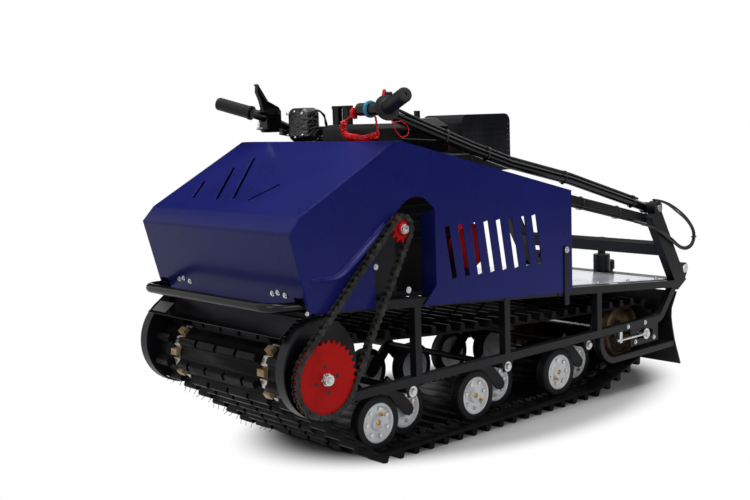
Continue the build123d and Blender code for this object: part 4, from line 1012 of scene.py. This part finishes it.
boom_ties, stay_ties = Shape(), Shape()
arm_line = [Vector(point) for point in (hinge, *arm_bends)]
for n, share in enumerate((0.2, 0.11, 0.59, 0.5)):
    a, b = arm_line[n], arm_line[n + 1]
    tie(boom_ties, a.lerp(b, share) + Vector((0, 0, 3.4)), b - a, 1)
stay_low, stay_high = Vector((-614, 249.5, 474.5)), Vector((-90, 249.5, 597))
for share in (0.05, 0.317, 0.628):
    tie(stay_ties, stay_low.lerp(stay_high, share) - Vector((0, 0, 3.2)), stay_high - stay_low, -1)
boom_ties.piece("boom_cable_ties", cable_black, "boom")
stay_ties.piece("stay_cable_ties", cable_black)

# Controls
# Moulded grips on the arms' ends, a thumb throttle on the right, a wrapped control box and two
# sockets on the cross bar, and a stop switch on the left with its coiled red lanyard.
def grip_rubber():
    return two_tone("grip_rubber", (60.0, 2.0), (17, 17, 19), (28, 28, 30), 0.42, 0.15, dulled=(160.0, 2.0),
                    grain=(800.0, 2.0, 0.0002, 0.5), specular_ior_level=0.22)


grip_radius, grip_groove, rib_pitch, rib_count = 17.0, 0.5, 8.0, 11
grip_profile = [(0, 5), (4, 5), (4.5, 0.6), (13, 0), (16, 1.5), (grip_radius, 5)]
for n in range(rib_count):
    start = rib_pitch * (n + 1)
    grip_profile += [(grip_radius, start), (grip_radius - grip_groove, start + 1.5),
                     (grip_radius - grip_groove, start + 4.5), (grip_radius, start + 6)]
grip_profile += [(grip_radius, 101)]
grips = Shape()
for side in (-1, 1):
    end, root = [Vector((x, side * y, z)) for x, y, z in (grip_end, knee)]
    outward = (end - root).normalized()
    flange = [(21, 103), (29, 104), (30, 106), (28, 108)] if side > 0 else [(18.5, 102), (18.5, 108)]
    grips.turned(grip_profile + flange + [(12.6, 108)], facing(*(end + outward * 4), -outward), 28)
grips.piece("grips_moulded", grip_rubber(), "boom", ("grips",))


def wrapped_box():
    return two_tone("wrapped_box", (70.0, 3.0), (8, 8, 10), (20, 20, 23), 0.14, 0.08, dulled=(40.0, 2.0),
                    grain=(70.0, 3.0, 0.006, 1.0), stretch=(1, 1, 2), specular_ior_level=0.5,
                    coat_weight=0.25)


eased(wrapped_box(), 4.0, "control_box")
screw_profile = [(0, 0), (3.4, 0), (3.4, 1.4), (2.4, 2.4), (0, 2.6)]
box_screws = Shape()
for y, z in ((-183, 814), (-153, 819), (-123, 814), (-183, 760), (-153, 754), (-123, 760)):
    box_screws.turned(screw_profile, facing(362.5, y, z, (1, 0, 0)), 14)
box_screws.piece("control_box_screws", zinc, "boom")
eased(gloss, 2.0, "throttle", "stop_switch")
bar_x, bar_z = 281.0, 766.0
socket_profile = [(0, 0), (13, 0), (13, 44), (14.6, 44.5), (14.6, 51), (13.4, 52), (11, 52), (10, 50),
                  (0, 50)]
ring_profile = [(12.6, -9), (16, -9), (16, 9), (12.6, 9)]
sockets = Shape()
for y in (-40, -80):
    sockets.turned(socket_profile, facing(bar_x, y, bar_z + 12, upward), 28)
    sockets.turned(ring_profile, Matrix.Translation((bar_x, y, bar_z)), 28, True)
sockets.piece("sockets_turned", gloss, "boom", ("sockets",))
lever_outline = (
    (430, 891), (425, 890), (418, 869), (404, 851), (380, 840), (362, 831),
    (366, 812), (400, 812), (415, 820), (423, 849), (433, 872),
)
Shape().prism(lever_outline, -226, -213).piece("throttle_lever", gloss, "boom", edge=2.5)
lever_screw = Shape().turned([(0, 0), (3, 0), (3, 18), (0, 18)], facing(430, -215, 796, (0.1, 0, -1)), 12)
lever_screw.turned([(0, 0), (3, 0), (3, 16), (0, 16)], facing(422, -215, 779, (1, 0, 0)), 12)
lever_screw.piece("throttle_screw", zinc, "boom")
leads = Shape()
for shift in (0, 5):
    lead = ((345, -118, 815 - shift), (328, -100 + shift, 822), (309, -98, 808 - shift),
            (307, -98 + shift, 786), (300, -100, 770))
    leads.tube(bent(lead, [10, 10, 10]), 2.4, 8)
for shift in (0, 6, 12):
    lead = ((372, -208, 776 - shift), (330, -190, 760 - shift / 2), (285 - shift, -120, 750),
            (262 - shift, 0, 748), (250, 120, 744), (236, 236 - shift, 738))
    leads.tube(bent(lead, [40, 40, 60, 60]), 2.6, 8)
leads.piece("control_leads", cable_black, "boom")


def blue_ring():
    return two_tone("blue_ring", (70.0, 2.0), (58, 150, 182), (84, 172, 200), 0.3, 0.1, dulled=(90.0, 2.0),
                    specular_ior_level=0.3)


def red_cord():
    return two_tone("red_cord", (200.0, 2.0), (232, 14, 22), (246, 30, 34), 0.25, 0.1, dulled=(120.0, 2.0),
                    specular_ior_level=0.3)


eased(blue_ring(), 1.5, "switch_ring")
lanyard_points = (
    (402, 134.5, 814), (402, 108, 803), (402, 76, 782), (402, 90, 757), (402, 150, 750), (402, 206, 758),
    (402, 196, 802.7),
)
coil_radius, cord_radius, coil_pitch, turn_steps = 6.3, 2.4, 6.9, 12
# the coil opens after a straight lead at either end
first_lead, last_lead, opening, closed_share = 44.0, 34.0, 14.0, 0.12
marks, reach = [], 0.0
for point, _, across, up in frames(bent(lanyard_points, [10, 10, 12, 30, 14])):
    reach += (point - marks[-1][1]).length if marks else 0.0
    marks.append((reach, point, across, up))
coil = []
for n in range(int(reach / coil_pitch * turn_steps)):
    where = n * coil_pitch / turn_steps
    k = max(i for i, mark in enumerate(marks[:-1]) if mark[0] <= where)
    share = (where - marks[k][0]) / (marks[k + 1][0] - marks[k][0])
    place, across, up = [near.lerp(far, share) for near, far in zip(marks[k][1:], marks[k + 1][1:])]
    turn = 2 * pi * n / turn_steps
    opened = min(1.0, *[max(closed_share, (lead - straight) / opening)
                        for lead, straight in ((where, first_lead), (reach - where, last_lead))])
    coil.append(place + coil_radius * opened * (cos(turn) * across + sin(turn) * up))
crimson = red_cord()
Shape().tube(coil, cord_radius, 7).piece("lanyard_coil", crimson, "boom", ("lanyard",))
loop_points = [(399, 246, 800), (399, 250, 784), (388, 250, 765), (371, 250, 750),
               (350, 250, 757), (347, 250, 774), (370, 250, 789), (399, 248, 786)]
wire_loop = Shape().tube(bent(loop_points, [8, 14, 14, 12, 12, 12]), 1.1, 8)
wire_loop.piece("lanyard_tail", crimson, "boom", sharp=40)
tabs = Shape().prism(((394, 836), (406, 836), (405, 850), (401, 862), (397, 862), (396, 850)), 223, 231)
tabs.prism(((406, 796), (421, 799), (423, 812), (417, 824), (409, 821), (404, 808)), 130, 139)
tabs.piece("lanyard_clips", crimson, "boom", edge=1.5)
knob_profile = [(0, 0), (6, 0), (6, 8), (8.5, 10), (8.5, 17), (6.5, 19), (0, 19)]
Shape().turned(knob_profile, facing(393.5, 235, 837, upward), 24).piece("switch_knob", gloss, "boom")
fasteners.piece("fasteners", zinc)

for name in sorted(name for name in nodes if not nodes[name].hide_render):
    nodes[name].data.materials.clear()
    nodes[name].data.materials.append(coat)
